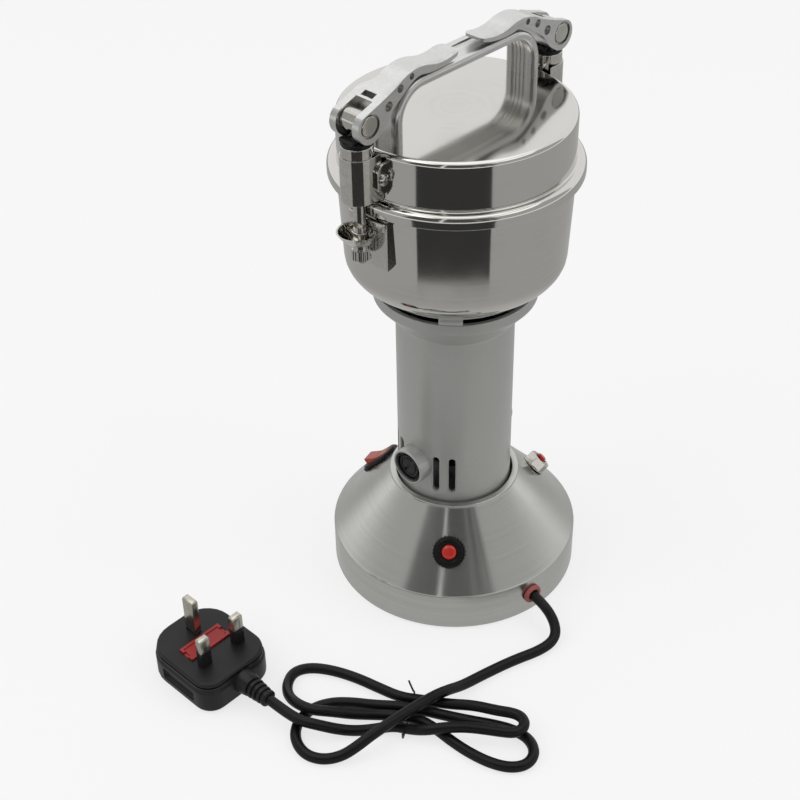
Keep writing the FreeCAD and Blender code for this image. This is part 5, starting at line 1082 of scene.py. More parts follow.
@dataclass
class MainsCord:
    """The mains cord from the base's grommet to the plug, with its wire tie."""

    radius: float = 2.8
    length: float = 0.789
    exit: tuple[float, float, float] = (-0.0115, -0.0694, 0.014)
    tie_radius: float = 0.5
    tie_place: tuple[float, float] = (-111.5, -70.8)
    tie_heading: float = 31.3

    TIE_TURNS = (
        (-15.3, 0.0, 4.6), (-15.3, 0.0, 1.6), (-13.9, 0.0, 0.52), (11.55, 0.0, 0.52),
        (12.95, 0.0, 1.6), (12.95, 0.0, 5.6), (10.75, 0.0, 7.5), (13.45, -3.0, 12.4),
    )

    ROUTE = (
        (-0.00980, -0.05919, 0.014),
        (-0.01254, -0.07577, 0.014),
        (-0.0144, -0.0864, 0.0082),
        (-0.0199, -0.0922, 0.0036),
        (-0.0310, -0.0920, 0.0029),
        (-0.0479, -0.0856, 0.0029),
        (-0.0660, -0.0808, 0.0029),
        (-0.0800, -0.0790, 0.0046),
        (-0.0910, -0.0782, 0.0094),
        (-0.1020, -0.0773, 0.0124),
        (-0.1216, -0.0746, 0.0126),
        (-0.1377, -0.0718, 0.0110),
        (-0.1475, -0.0698, 0.0080),
        (-0.1550, -0.0664, 0.0044),
        (-0.1620, -0.0606, 0.0029),
        (-0.1659, -0.0525, 0.0029),
        (-0.1644, -0.0437, 0.0029),
        (-0.1594, -0.0368, 0.0029),
        (-0.1518, -0.0326, 0.0029),
        (-0.1418, -0.0324, 0.0029),
        (-0.1329, -0.0370, 0.0029),
        (-0.1260, -0.0446, 0.0029),
        (-0.1196, -0.0540, 0.0029),
        (-0.1125, -0.0638, 0.00395),
        (-0.1063, -0.0740, 0.00395),
        (-0.0999, -0.0850, 0.0029),
        (-0.0939, -0.0965, 0.0029),
        (-0.0874, -0.1074, 0.0029),
        (-0.0830, -0.1176, 0.0029),
        (-0.0826, -0.1270, 0.0029),
        (-0.0875, -0.1342, 0.0029),
        (-0.0954, -0.1360, 0.0029),
        (-0.1024, -0.1315, 0.0029),
        (-0.1070, -0.1225, 0.0029),
        (-0.1094, -0.1106, 0.0029),
        (-0.1100, -0.0990, 0.0029),
        (-0.1095, -0.0884, 0.0029),
        (-0.1113, -0.0776, 0.00395),
        (-0.1177, -0.0670, 0.00395),
        (-0.1246, -0.0582, 0.0031),
        (-0.1334, -0.0510, 0.0054),
        (-0.1416, -0.0446, 0.0092),
        (-0.1476, -0.0370, 0.0093),
        (-0.1498, -0.0282, 0.0092),
        (-0.1468, -0.0184, 0.0054),
        (-0.1406, -0.0106, 0.0029),
        (-0.1324, -0.0068, 0.0029),
        (-0.1243, -0.0108, 0.0029),
        (-0.1176, -0.0208, 0.0029),
        (-0.1126, -0.0340, 0.0029),
        (-0.1096, -0.0476, 0.0029),
        (-0.1073, -0.0606, 0.00395),
        (-0.1007, -0.0706, 0.00395),
        (-0.0938, -0.0822, 0.0042),
        (-0.0886, -0.0942, 0.0083),
        (-0.0838, -0.1056, 0.0092),
        (-0.0796, -0.1124, 0.0092),
        (-0.0784, -0.1170, 0.0092),
        (-0.0802, -0.1212, 0.0092),
        (-0.0844, -0.1230, 0.0092),
        (-0.0888, -0.1214, 0.0092),
        (-0.0920, -0.1172, 0.0092),
        (-0.0964, -0.1102, 0.0092),
        (-0.1024, -0.1014, 0.0092),
        (-0.1100, -0.0938, 0.0092),
        (-0.1164, -0.0872, 0.0074),
        (-0.1194, -0.0794, 0.0043),
        (-0.1234, -0.0712, 0.00395),
        (-0.1308, -0.0652, 0.0029),
        (-0.1384, -0.0592, 0.0032),
        (-0.1456, -0.0534, 0.0060),
        (-0.1520, -0.0466, 0.0092),
        (-0.1562, -0.0380, 0.0092),
        (-0.1580, -0.0280, 0.0103),
        (-0.1580, -0.0170, 0.0103),
    )

    def build(self, fittings: Sequence[bpy.types.Object]) -> None:
        """Args:
            fittings: The plug's pieces; not used.
        """
        curve = bpy.data.curves.new("mains_cord", "CURVE")
        curve.dimensions = "3D"
        curve.bevel_depth = self.radius * MM
        curve.bevel_resolution = 6
        curve.resolution_u = 8
        curve.use_fill_caps = True
        spline = curve.splines.new("NURBS")
        spline.points.add(len(self.ROUTE) - 1)
        for point, place in zip(spline.points, self.ROUTE):
            point.co = (*place, 1.0)
        spline.order_u = 3
        spline.use_endpoint_u = True
        curve.materials.append(CORD_BLACK.material())
        cord = bpy.data.objects.new("mains_cord", curve)
        bpy.context.scene.collection.objects.link(cord)
        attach(cord, "mill_base")
        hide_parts("power_cord", "cord_bundle")
        log.info("mains_cord laid through %d points", len(self.ROUTE))
        self._tie()

    def _tie(self) -> None:
        """Bend the coated wire that goes round the bundle and stands up at one end."""
        side = math.radians(self.tie_heading)
        curve = bpy.data.curves.new("wire_tie", "CURVE")
        curve.dimensions = "3D"
        curve.bevel_depth = self.tie_radius * MM
        curve.bevel_resolution = 4
        curve.resolution_u = 6
        curve.use_fill_caps = True
        spline = curve.splines.new("NURBS")
        spline.points.add(len(self.TIE_TURNS) - 1)
        for point, (across, along, up) in zip(spline.points, self.TIE_TURNS):
            x = self.tie_place[0] + across * math.cos(side) + along * math.sin(side)
            y = self.tie_place[1] + across * math.sin(side) - along * math.cos(side)
            point.co = (x * MM, y * MM, up * MM, 1.0)
        spline.order_u = 3
        spline.use_endpoint_u = True
        obj = bpy.data.objects.new("wire_tie", curve)
        bpy.context.scene.collection.objects.link(obj)
        tie = Shape.holding(obj, "wire_tie")
        tie.select()
        bpy.ops.object.convert(target="MESH")
        tie.obj = bpy.context.object
        tie.mend()
        tie.finish("mill_base", TIE_BLACK, ["cord_tie"])


@dataclass
class Plug:
    """The three-pin plug that lies on its back with its pins up."""

    x: float = -158.0
    left: float = -182.4
    right: float = -136.8
    back: float = 2.0
    front: float = 54.6
    face: float = 20.0
    bottom: float = 0.6
    line_y: float = 19.0
    spacing: float = 22.2
    line_pin: tuple[float, float, float] = (6.3, 4.0, 17.7)
    earth_pin: tuple[float, float, float] = (4.0, 8.0, 22.7)
    sleeve: float = 9.0
    fuse_centre: tuple[float, float] = (-160.0, 29.6)
    fuse_size: tuple[float, float, float] = (26.0, 10.4, 1.0)
    relief_start: float = -17.0
    relief_height: float = 10.3

    def build(self) -> list[bpy.types.Object]:
        """Build the plug and return its pieces."""
        pieces = [self._body(), self._relief(), self._fuse_cover()]
        pieces.extend(self._pins())
        return pieces

    def _outline(self, inset: float) -> list[Corner]:
        """Return the block's outline, drawn in by an inset."""
        left, right = self.left + inset, self.right - inset
        back, front = self.back + inset, self.front - inset
        return [
            (left, back, 10.0 - inset / 2),
            (right, back, 12.0 - inset / 2),
            (right, front, 16.5 - inset / 2),
            (left, front, 16.5 - inset / 2),
        ]

    def _body(self) -> bpy.types.Object:
        """Build the moulded block with its face plate and finger grips."""
        block = Shape.plate("plug_block", self._outline(0.0), self.bottom, self.face - 4.0)
        block.bevel(2.6, 4, 60.0)
        step = Shape.plate("step", self._outline(0.7), self.face - 5.5, self.face - 2.8)
        plate = Shape.plate("plate", self._outline(0.9), self.face - 3.0, self.face)
        plate.bevel(1.3, 3, 60.0)
        block.fuse(step, plate)
        for x, y, (width, depth, _length) in self._pin_places():
            block.cut(Shape.block(
                "pin_hole",
                (x - width / 2 - 0.15, y - depth / 2 - 0.15, self.face - 6.0),
                (x + width / 2 + 0.15, y + depth / 2 + 0.15, self.face + 2.0),
            ))
        x, y = self.fuse_centre
        half_x, half_y = self.fuse_size[0] / 2 + 0.25, self.fuse_size[1] / 2 + 0.25
        block.cut(Shape.block(
            "fuse_pocket", (x - half_x, y - half_y, self.face - 3.0), (x + half_x, y + half_y, 25.0)))
        for side in (self.left, self.right):
            grip = Shape.block("grip", (side - 1.6, 14.0, 5.0), (side + 1.6, 38.0, 12.5))
            block.cut(grip.bevel(1.4, 3))
        return block.finish("mill_base", PLUG_PLASTIC, ("plug_body",), even=True)

    def _relief(self) -> bpy.types.Object:
        """Build the ribbed strain relief that tapers to the cord."""
        reach = self.back + 3.0 - self.relief_start
        profile: list[Corner] = [(0.0, 0.0), (3.6, 0.0), (4.5, 0.6, 0.4)]
        for index in range(4):
            low = 2.0 + 3.0 * index
            outer = 4.6 + 0.32 * index
            inner = 3.7 + 0.25 * index
            profile += [(outer, low, 0.3), (inner, low + 0.3), (inner, low + 1.3), (outer + 0.1, low + 1.6, 0.3)]
        profile += [(6.2, 15.0), (7.4, reach), (0.0, reach)]
        relief = Shape.turned("plug_strain_relief", profile, 48, closed=False)
        relief.place(pointing((self.x, self.relief_start, self.relief_height), (0.0, 1.0, 0.0)))
        return relief.finish("mill_base", PLUG_PLASTIC)

    def _pin_places(self) -> list[tuple[float, float, tuple[float, float, float]]]:
        """Return the place and size of each pin, the two line pins first."""
        half = self.spacing / 2
        return [
            (self.x - half, self.line_y, self.line_pin),
            (self.x + half, self.line_y, self.line_pin),
            (self.x, self.line_y + self.spacing, self.earth_pin),
        ]

    def _pins(self) -> list[bpy.types.Object]:
        """Build the nickel pins and the black sleeves of the line pins."""
        pins = []
        sleeves = []
        for x, y, (width, depth, length) in self._pin_places():
            top = self.face + length
            low = self.face - 5.5
            pin = Shape.block(
                "pin", (x - width / 2, y - depth / 2, low), (x + width / 2, y + depth / 2, top))
            pin.edit()
            pin.pick(lambda at: at.z > top - 0.01)
            bpy.ops.mesh.bevel(offset=1.1 * MM, segments=2, affect="EDGES")
            pin.mend()
            pins.append(pin.bevel(0.25, 2, 50.0))
            if length < 20.0:
                sleeve = Shape.block(
                    "sleeve",
                    (x - width / 2 - 0.12, y - depth / 2 - 0.12, self.face - 1.0),
                    (x + width / 2 + 0.12, y + depth / 2 + 0.12, self.face + self.sleeve),
                )
                sleeves.append(sleeve.bevel(0.4, 2))
        metal = pins[0].together(*pins[1:])
        metal.obj.name = "plug_pin_set"
        black = sleeves[0].together(*sleeves[1:])
        black.obj.name = "plug_pin_sleeves"
        return [
            metal.finish("mill_base", PIN_NICKEL, ("plug_pins",)),
            black.finish("mill_base", BLACK_PLASTIC),
        ]

    def _fuse_cover(self) -> bpy.types.Object:
        """Build the red fuse cover with its panel and end notches."""
        x, y = self.fuse_centre
        length, width, height = self.fuse_size
        top = self.face + height
        cover = Shape.block(
            "fuse_cover",
            (x - length / 2, y - width / 2, self.face - 2.5),
            (x + length / 2, y + width / 2, top),
        )
        cover.edit()
        cover.pick_faces(lambda at, normal: normal.z > 0.9)
        bpy.ops.mesh.inset(thickness=1.6 * MM)
        cover.extrude((0.0, 0.0, -0.5))
        cover.mend()
        for end in (-1, 1):
            edge = x + end * length / 2
            cover.cut(Shape.block("notch", (edge - 1.7, y - 2.0, self.face - 0.2), (edge + 1.7, y + 2.0, top + 1)))
        cover.bevel(0.25, 2)
        return cover.finish("mill_base", FUSE_RED, ("plug_fuse_cover",), even=True)


# Base and switches


@dataclass(frozen=True)
class Cone:
    """The base's slope, which the switches stand on."""

    foot_radius: float = 67.8
    foot: float = 24.0
    top_radius: float = 34.4
    top: float = 60.1
    wall: float = 2.0

    @property
    def slope_length(self) -> float:
        """The length of the slope."""
        return math.hypot(self.foot_radius - self.top_radius, self.top - self.foot)

    @property
    def wall_in(self) -> float:
        """The wall's thickness along a radius."""
        return self.wall * (self.top - self.foot) / self.slope_length

    @property
    def wall_down(self) -> float:
        """The wall's thickness straight down."""
        return self.wall * (self.foot_radius - self.top_radius) / self.slope_length

    def inner_radius(self, height: float) -> float:
        """Return the radius of the inside of the cone at a height."""
        run = (self.foot_radius - self.top_radius) / (self.top - self.foot)
        return self.foot_radius - self.wall_in - (height - self.foot + self.wall_down) * run

    def inner_height(self, radius: float) -> float:
        """Return the height of the inside of the cone at a radius."""
        rise = (self.top - self.foot) / (self.foot_radius - self.top_radius)
        return self.foot - self.wall_down + (self.foot_radius - self.wall_in - radius) * rise

    def spot(self, angle: float, circle: float) -> Matrix:
        """Return a place on the slope, with X up the slope and Z straight out.

        Args:
            angle: The direction from the axis, in degrees.
            circle: The radius.

        Returns:
            The place as a matrix in metres.
        """
        slope = Vector((self.top_radius - self.foot_radius, 0.0, self.top - self.foot)).normalized()
        normal = Vector((slope.z, 0.0, -slope.x))
        height = self.foot + (self.foot_radius - circle) * slope.z / -slope.x
        place = Matrix((slope, normal.cross(slope), normal)).transposed().to_4x4()
        place.translation = Vector((circle, 0.0, height)) * MM
        return turn_about_z(angle) @ place


CONE = Cone()


@dataclass
class Base:
    """The spun base and the grommet in its wall."""

    bottom: float = 1.5
    crease_round: float = 1.8
    lip_radius: float = 32.1
    shelf_top: float = 53.0
    shelf_thickness: float = 3.0
    shelf_bore: float = 21.5
    post_circle: float = 50.0
    post_radius: float = 4.0
    cord_angle: float = -99.4
    cord_height: float = 14.0

    def build(self) -> None:
        """Build the shell and the grommet."""
        self._shell()
        self._grommet()

    def _shell(self) -> None:
        """Spin the shell and cut the openings of switches and cord."""
        c = CONE
        inner = c.foot_radius - c.wall
        shelf_bottom = self.shelf_top - self.shelf_thickness
        shell = Shape.turned("base_spinning", [
            (c.foot_radius, self.bottom, 0.6),
            (c.foot_radius, c.foot, self.crease_round),
            (c.top_radius + 1.15, c.top - 1.25, 0.5),
            (c.top_radius + 0.95, c.top, 0.35),
            (self.lip_radius, c.top, 0.3),
            (self.lip_radius, c.top - 1.0, 0.2),
            (c.inner_radius(c.top - 1.0), c.top - 1.0),
            (c.inner_radius(self.shelf_top), self.shelf_top),
            (self.shelf_bore, self.shelf_top),
            (self.shelf_bore, shelf_bottom),
            (c.inner_radius(shelf_bottom), shelf_bottom),
            (inner, c.inner_height(inner)),
            (inner, self.bottom),
        ], 180)
        cutters = [
            Shape.block("pocket", (-11.3, -5.7, -11.5), (11.3, 5.7, 3.0)).place(c.spot(105.0, 47.0)),
            Shape.rod("reset_hole", (0, 0, -8), (0, 0, 3), 6.0).place(c.spot(-140.6, 51.5)),
            Shape.rod("hex_hole", (0, 0, -8), (0, 0, 3), 3.5).place(c.spot(-27.0, 48.0)),
            Shape.rod("inlet", (inner - 4, 0, self.cord_height), (72, 0, self.cord_height), 4.4).place(
                turn_about_z(self.cord_angle)),
        ]
        shell.cut(*cutters)
        posts = []
        for index in range(4):
            turn = turn_about_z(90.0 * index)
            post = Shape.rod("post", (self.post_circle, 0, 4.3), (self.post_circle, 0, 38.0), self.post_radius)
            posts.append(post.place(turn))
        shell.together(*posts)
        shell.finish("mill_base", BASE_ALUMINIUM, ("base_shell",), smooth=30.0)

    def _grommet(self) -> None:
        """Turn the cord's grommet."""
        grommet = Shape.turned("cord_grommet_ring", [
            (3.0, 64.2, 0.3), (5.4, 64.2, 0.5), (5.4, 65.7, 0.4), (4.3, 65.8), (4.3, 67.85),
            (5.4, 67.9, 0.5), (5.4, 70.3, 1.2), (3.0, 70.3, 0.8),
        ], 64)
        aim = Matrix.Rotation(math.radians(90.0), 4, "Y")
        grommet.place(turn_about_z(self.cord_angle) @ shifted(0, 0, self.cord_height) @ aim)
        grommet.finish("mill_base", GROMMET_RED, ("cord_grommet",))


@dataclass
class Rocker:
    """The power switch: a red rocker in a black oval bezel."""

    angle: float = 105.0
    circle: float = 47.0
    bezel: tuple[float, float, float] = (26.0, 13.0, 2.0)
    window: tuple[float, float] = (19.0, 8.8)
    half_length: float = 8.3
    crest: float = 2.8
    wing: float = 4.1
    depth: float = 3.0
    tilt: float = 12.0

    def build(self) -> None:
        """Build the switch's case and its rocker."""
        spot = CONE.spot(self.angle, self.circle)
        length, width, thickness = self.bezel
        rim = Shape.plate("switch_case", [
            (-length / 2, -width / 2, 6.2), (length / 2, -width / 2, 6.2),
            (length / 2, width / 2, 6.2), (-length / 2, width / 2, 6.2),
        ], 0.1, thickness)
        rim.edit()
        rim.pick(lambda at: at.z > thickness - 0.01)
        bpy.ops.mesh.bevel(offset=0.9 * MM, segments=4, affect="EDGES")
        rim.mend()
        case = Shape.block("case", (-11.2, -5.6, -11.0), (11.2, 5.6, 1.0))
        rim.fuse(case)
        half_x, half_y = self.window[0] / 2, self.window[1] / 2
        rim.cut(Shape.block("window", (-half_x, -half_y, -6.6), (half_x, half_y, 4.0)))
        rim.bevel(0.3, 2, 50.0)
        rim.place(spot)
        rim.finish("mill_base", BLACK_PLASTIC, ("rocker_housing",))
        half_y -= 0.3
        key = Shape.plate("power_rocker", [
            (-self.half_length, self.wing, 0.5), (0.0, self.crest, 9.0),
            (self.half_length, self.wing, 0.5), (self.half_length - 0.4, -self.depth),
            (-self.half_length + 0.4, -self.depth),
        ], -half_y, half_y, upright=True)
        key.bevel(0.45, 3)
        pin = Shape.rod("pin", (0, -half_y - 0.9, 0), (0, half_y + 0.9, 0), 1.0, 24)
        key.together(pin)
        key.place(spot @ Matrix.Rotation(math.radians(self.tilt), 4, "Y"))
        key.finish("rocker_switch", ROCKER_RED, ("rocker",), even=True)


@dataclass
class ResetButton:
    """The round red button in its toothed black ring."""

    angle: float = -140.6
    circle: float = 51.5
    ring_radius: float = 9.0
    ring_height: float = 2.8
    barrel_radius: float = 5.9
    button_radius: float = 4.0
    button_top: float = 3.0
    teeth: int = 28

    def build(self) -> None:
        """Build the ring with its barrel, and the button."""
        spot = CONE.spot(self.angle, self.circle)
        ring = Shape.fluted("reset_ring", self.ring_radius, 0.55, self.teeth, 0.1, 1.9)
        ring.edit()
        ring.pick(lambda at: at.z > 1.8)
        bpy.ops.mesh.bevel(offset=0.35 * MM, segments=2, affect="EDGES")
        ring.mend()
        crown = Shape.turned("crown", [
            (7.6, 1.8), (7.3, self.ring_height, 0.6), (5.7, self.ring_height, 0.4),
            (4.9, 1.9, 0.3), (4.35, 1.8), (4.35, -7.4), (0, -7.4), (0, -9.0),
            (self.barrel_radius, -9.0), (self.barrel_radius, 1.2), (7.6, 1.2),
        ], 64)
        well = Shape.rod("well", (0, 0, -7.4), (0, 0, 4.0), 4.35, 64)
        ring.cut(well)
        ring.together(crown)
        ring.place(spot)
        ring.finish("mill_base", BLACK_PLASTIC, ("reset_bezel",))
        button = Shape.turned("reset_push_button", [
            (0, -5.7), (self.button_radius, -5.7), (self.button_radius, 2.3, 0.8),
            (2.4, self.button_top, 2.0), (0, self.button_top),
        ], 64, closed=False)
        button.place(spot)
        button.finish("reset_button", RED_PLASTIC, ("red_button",))


@dataclass
class HexButton:
    """The small red button on its threaded barrel with washer and nut."""

    angle: float = -27.0
    circle: float = 48.0
    washer: tuple[float, float] = (6.8, 0.8)
    flats: float = 11.4
    nut_height: float = 5.4
    barrel_radius: float = 3.4
    barrel_top: float = 4.6
    button_radius: float = 2.6
    button_top: float = 7.9

    def build(self) -> None:
        """Build the nut, the threaded barrel and the button."""
        spot = CONE.spot(self.angle, self.circle)
        radius, thickness = self.washer
        washer = Shape.turned("hex_nut_set", [
            (3.5, 0.1), (radius, 0.1, 0.25), (radius, 0.1 + thickness, 0.25), (3.5, 0.1 + thickness),
        ], 64)
        low = 0.1 + thickness
        top = low + self.nut_height
        nut = Shape.rod("nut", (0, 0, low), (0, 0, top), self.flats / 2 / math.cos(math.pi / 6), 6)
        dome = Shape.turned("dome", [
            (0, low - 1), (6.5, low - 1), (6.5, top - 0.5), (5.6, top), (0, top),
        ], 64, closed=False)
        nut.combine([dome], Joining.KEEP_SHARED)
        nut.cut(Shape.rod("bore", (0, 0, low - 1), (0, 0, top + 1), 3.5, 48))
        washer.together(nut.bevel(0.18, 2))
        washer.place(spot)
        washer.finish("mill_base", NICKEL, ("hex_nut",), even=True)
        profile: list[Corner] = [(2.9, -8.0), (self.barrel_radius, -8.0)]
        level = -7.0
        while level < self.barrel_top - 0.9:
            profile += [(self.barrel_radius, level), (self.barrel_radius - 0.3, level + 0.3)]
            level += 0.6
        profile += [(self.barrel_radius, self.barrel_top - 0.4, 0.2), (2.9, self.barrel_top, 0.1)]
        barrel = Shape.turned("threaded_barrel", profile, 48)
        barrel.place(spot)
        barrel.finish("mill_base", NICKEL, ("button_barrel",))
        button = Shape.rod("hex_push_button", (0, 0, -4.7), (0, 0, self.button_top), self.button_radius, 8)
        button.edit()
        button.pick(lambda at: at.z > self.button_top - 0.01)
        bpy.ops.mesh.bevel(offset=0.55 * MM, segments=2, affect="EDGES")
        button.mend()
        button.place(spot)
        button.finish("small_button", RED_PLASTIC, ("hex_button",), smooth=20.0)


# Column


@dataclass
class Column:
    """The painted motor column with its bosses, brush caps and bowl seat."""

    radius: float = 30.8
    wall: float = 2.4
    shelf: float = 53.0
    flare_bottom: float = 162.6
    flare_top: float = 176.0
    collar: float = 42.2
    top: float = 181.7
    boss_height: float = 80.6
    boss_radius: float = 10.2
    boss_reach: float = 37.2
    vent_width: float = 3.6
    vents: tuple[float, float] = (66.0, 88.5)
    vent_angles: tuple[float, float] = (23.6, 40.0)

    def build(self) -> None:
        """Build the column, its caps and the seat."""
        self._housing()
        self._caps()
        self._seat()

    def _housing(self) -> None:
        """Turn the column, add the bosses and cut bores and vents."""
        inner = self.radius - self.wall
        flare = math.atan2(self.collar - self.radius, self.flare_top - self.flare_bottom)
        lift = self.wall * math.tan(flare / 2)
        body = Shape.turned("motor_column", [
            (self.radius, self.shelf), (self.radius, 63.5), (self.radius, 94.0),
            (self.radius, 97.0), (self.radius, self.flare_bottom - 6.0),
            (self.radius, self.flare_bottom, 4.0),
            (self.collar, self.flare_top, 1.2), (self.collar, self.top, 0.7),
            (self.collar - self.wall, self.top, 0.3),
            (self.collar - self.wall, self.flare_top + lift),
            (inner, self.flare_bottom + lift), (inner, self.shelf + 6), (21.5, self.shelf + 6),
            (21.5, self.shelf),
        ], 144)
        for side in (-1, 1):
            boss = Shape.rod("boss", (side * 28.7, 0, self.boss_height),
                             (side * self.boss_reach, 0, self.boss_height), self.boss_radius, 72)
            body.fuse(boss.bevel(0.7, 3, 60.0))
            body.cut(
                Shape.rod("mouth", (side * 30.5, 0, self.boss_height),
                          (side * 39, 0, self.boss_height), 9.0, 72),
                Shape.rod("holder", (side * 26, 0, self.boss_height),
                          (side * 32, 0, self.boss_height), 5.7),
            )
        for angle in self.vent_angles:
            for heading in (angle, -angle, 180 - angle, 180 + angle):
                turn = turn_about_z(heading)
                body.cut(self._vent(0.65, 0.5).place(turn), self._vent(0.0, self.wall + 2).place(turn))
        body.bevel(0.3, 2, 38.0)
        body.finish("mill_base", COLUMN_PAINT, ("motor_housing",), smooth=32.0, even=True)

    def _vent(self, rim: float, depth: float) -> Shape:
        """Return one slot cutter with round ends, on the +X side.

        Args:
            rim: How much wider than the slot it is, all round.
            depth: How deep it goes below the column's face.

        Returns:
            The cutter.
        """
        half = self.vent_width / 2 + rim
        low, high = self.vents[0] - rim, self.vents[1] + rim
        slot = Shape.plate("vent", [
            (-half, low, half * 0.98), (half, low, half * 0.98),
            (half, high, half * 0.98), (-half, high, half * 0.98),
        ], -(self.radius + 2), -(self.radius - depth), upright=True)
        return slot.place(turn_about_z(90.0))

    def _caps(self) -> None:
        """Turn the slotted brush caps."""
        for name, turn in SIDE_TURNS.items():
            cap = Shape.turned(f"brush_cap_{name}", [
                (0, 32.0), (8.85, 32.0), (8.85, 36.2, 0.5), (7.7, 36.2, 0.25), (7.5, 34.9, 0.2),
                (6.7, 34.9, 0.2), (6.5, 35.9, 0.3), (5.5, 35.9, 0.2), (5.3, 35.4), (4.8, 35.4),
                (4.6, 35.9, 0.2), (0, 35.9),
            ], 72, closed=False)
            cap.cut(Shape.block("slot", (-0.8, -5.0, 34.9), (0.8, 5.0, 37.0)))
            cap.bevel(0.12, 2, 50.0)
            upright = Matrix.Rotation(math.radians(90.0), 4, "Y")
            spun = turn_about_z(52.0)
            cap.place(turn_about_z(turn) @ shifted(0, 0, self.boss_height) @ upright @ spun)
            nodes = ("brush_caps",) if name == "right" else ()
            cap.finish("mill_base", BLACK_PLASTIC, nodes)

    def _seat(self) -> None:
        """Turn the bowl's seat with its four tabs on the collar."""
        seat = Shape.turned("bowl_seat_disc", [
            (5.5, 189.2), (self.collar, 189.2, 0.7), (self.collar, 185.1, 0.7), (14.0, 185.1),
            (14.0, 172.0), (11.05, 172.0), (11.05, 181.0), (5.5, 181.0),
        ], 144)
        tabs = []
        for index in range(4):
            tab = Shape.turned("tab", [
                (36.6, 179.4), (39.4, 179.4), (39.4, 181.7), (self.collar - 0.2, 181.75),
                (self.collar - 0.2, 185.3), (36.6, 185.3),
            ], 8, angle=16.4, start=-141.0 + 90.0 * index - 8.2)
            tabs.append(tab.bevel(0.25, 2, 50.0))
        seat.together(*tabs)
        seat.finish("mill_base", COLUMN_PAINT, ("bowl_seat",))


# Bowl and lid


@dataclass
class Bowl:
    """The steel bowl with the two hooked brackets on its wall."""

    bottom: float = 190.0
    top: float = 247.6
    wall: float = 1.2
    corner: float = 12.0
    flange: float = 60.6
    half_width: float = 11.0
    standoff: float = 59.3

    def build(self) -> None:
        """Build the bowl and its brackets."""
        bowl = Shape.turned("steel_bowl", [
            (8.0, self.bottom), (55.1, self.bottom, self.corner), (55.82, 204.0),
            (57.84, 245.0), (57.9, self.top - 1.2, 0.4), (self.flange, self.top - 1.2, 0.5),
            (self.flange, self.top, 0.5), (56.7, self.top, 0.5),
            (53.9, self.bottom + self.wall, self.corner - self.wall), (8.0, self.bottom + self.wall),
        ], 192)
        bowl.finish("mill_base", POLISHED, ("bowl",))
        self._brackets()

    def _brackets(self) -> None:
        """Bend the brackets that the clamp cups hook under."""
        outer = self.standoff + 1.2
        half = math.degrees(self.half_width / self.standoff)
        side = math.degrees(1.2 / self.standoff)
        for name, turn in SIDE_TURNS.items():
            hook = Shape.turned(f"bowl_bracket_{name}", [
                (self.standoff, 218.5), (outer, 218.5), (outer, 243.4), (61.2, 243.4),
                (61.2, 240.3), (62.4, 240.3), (62.4, 244.6, 0.9), (self.standoff, 244.6),
            ], 20, angle=2 * half, start=-half)
            wings = []
            for start in (-half, half - side):
                wing = Shape.turned("wing", [
                    (55.9, 218.5), (outer - 0.3, 218.5), (outer - 0.3, 244.3), (57.9, 244.3),
                    (57.0, 228.0),
                ], 3, angle=side, start=start)
                wings.append(wing)
            hook.bevel(0.25, 2, 50.0)
            dimple = Shape.turned("dimple", [(0, 0), (1.7, 0), (1.3, 0.55, 0.4), (0, 0.6)], 24, closed=False)
            dimple.place(pointing((outer - 0.1, 0, 223.0), (1, 0, 0)))
            hook.together(*wings, dimple)
            hook.place(turn_about_z(turn))
            nodes = ("bowl_brackets",) if name == "right" else ()
            hook.finish("mill_base", BRACKET_STEEL, nodes)


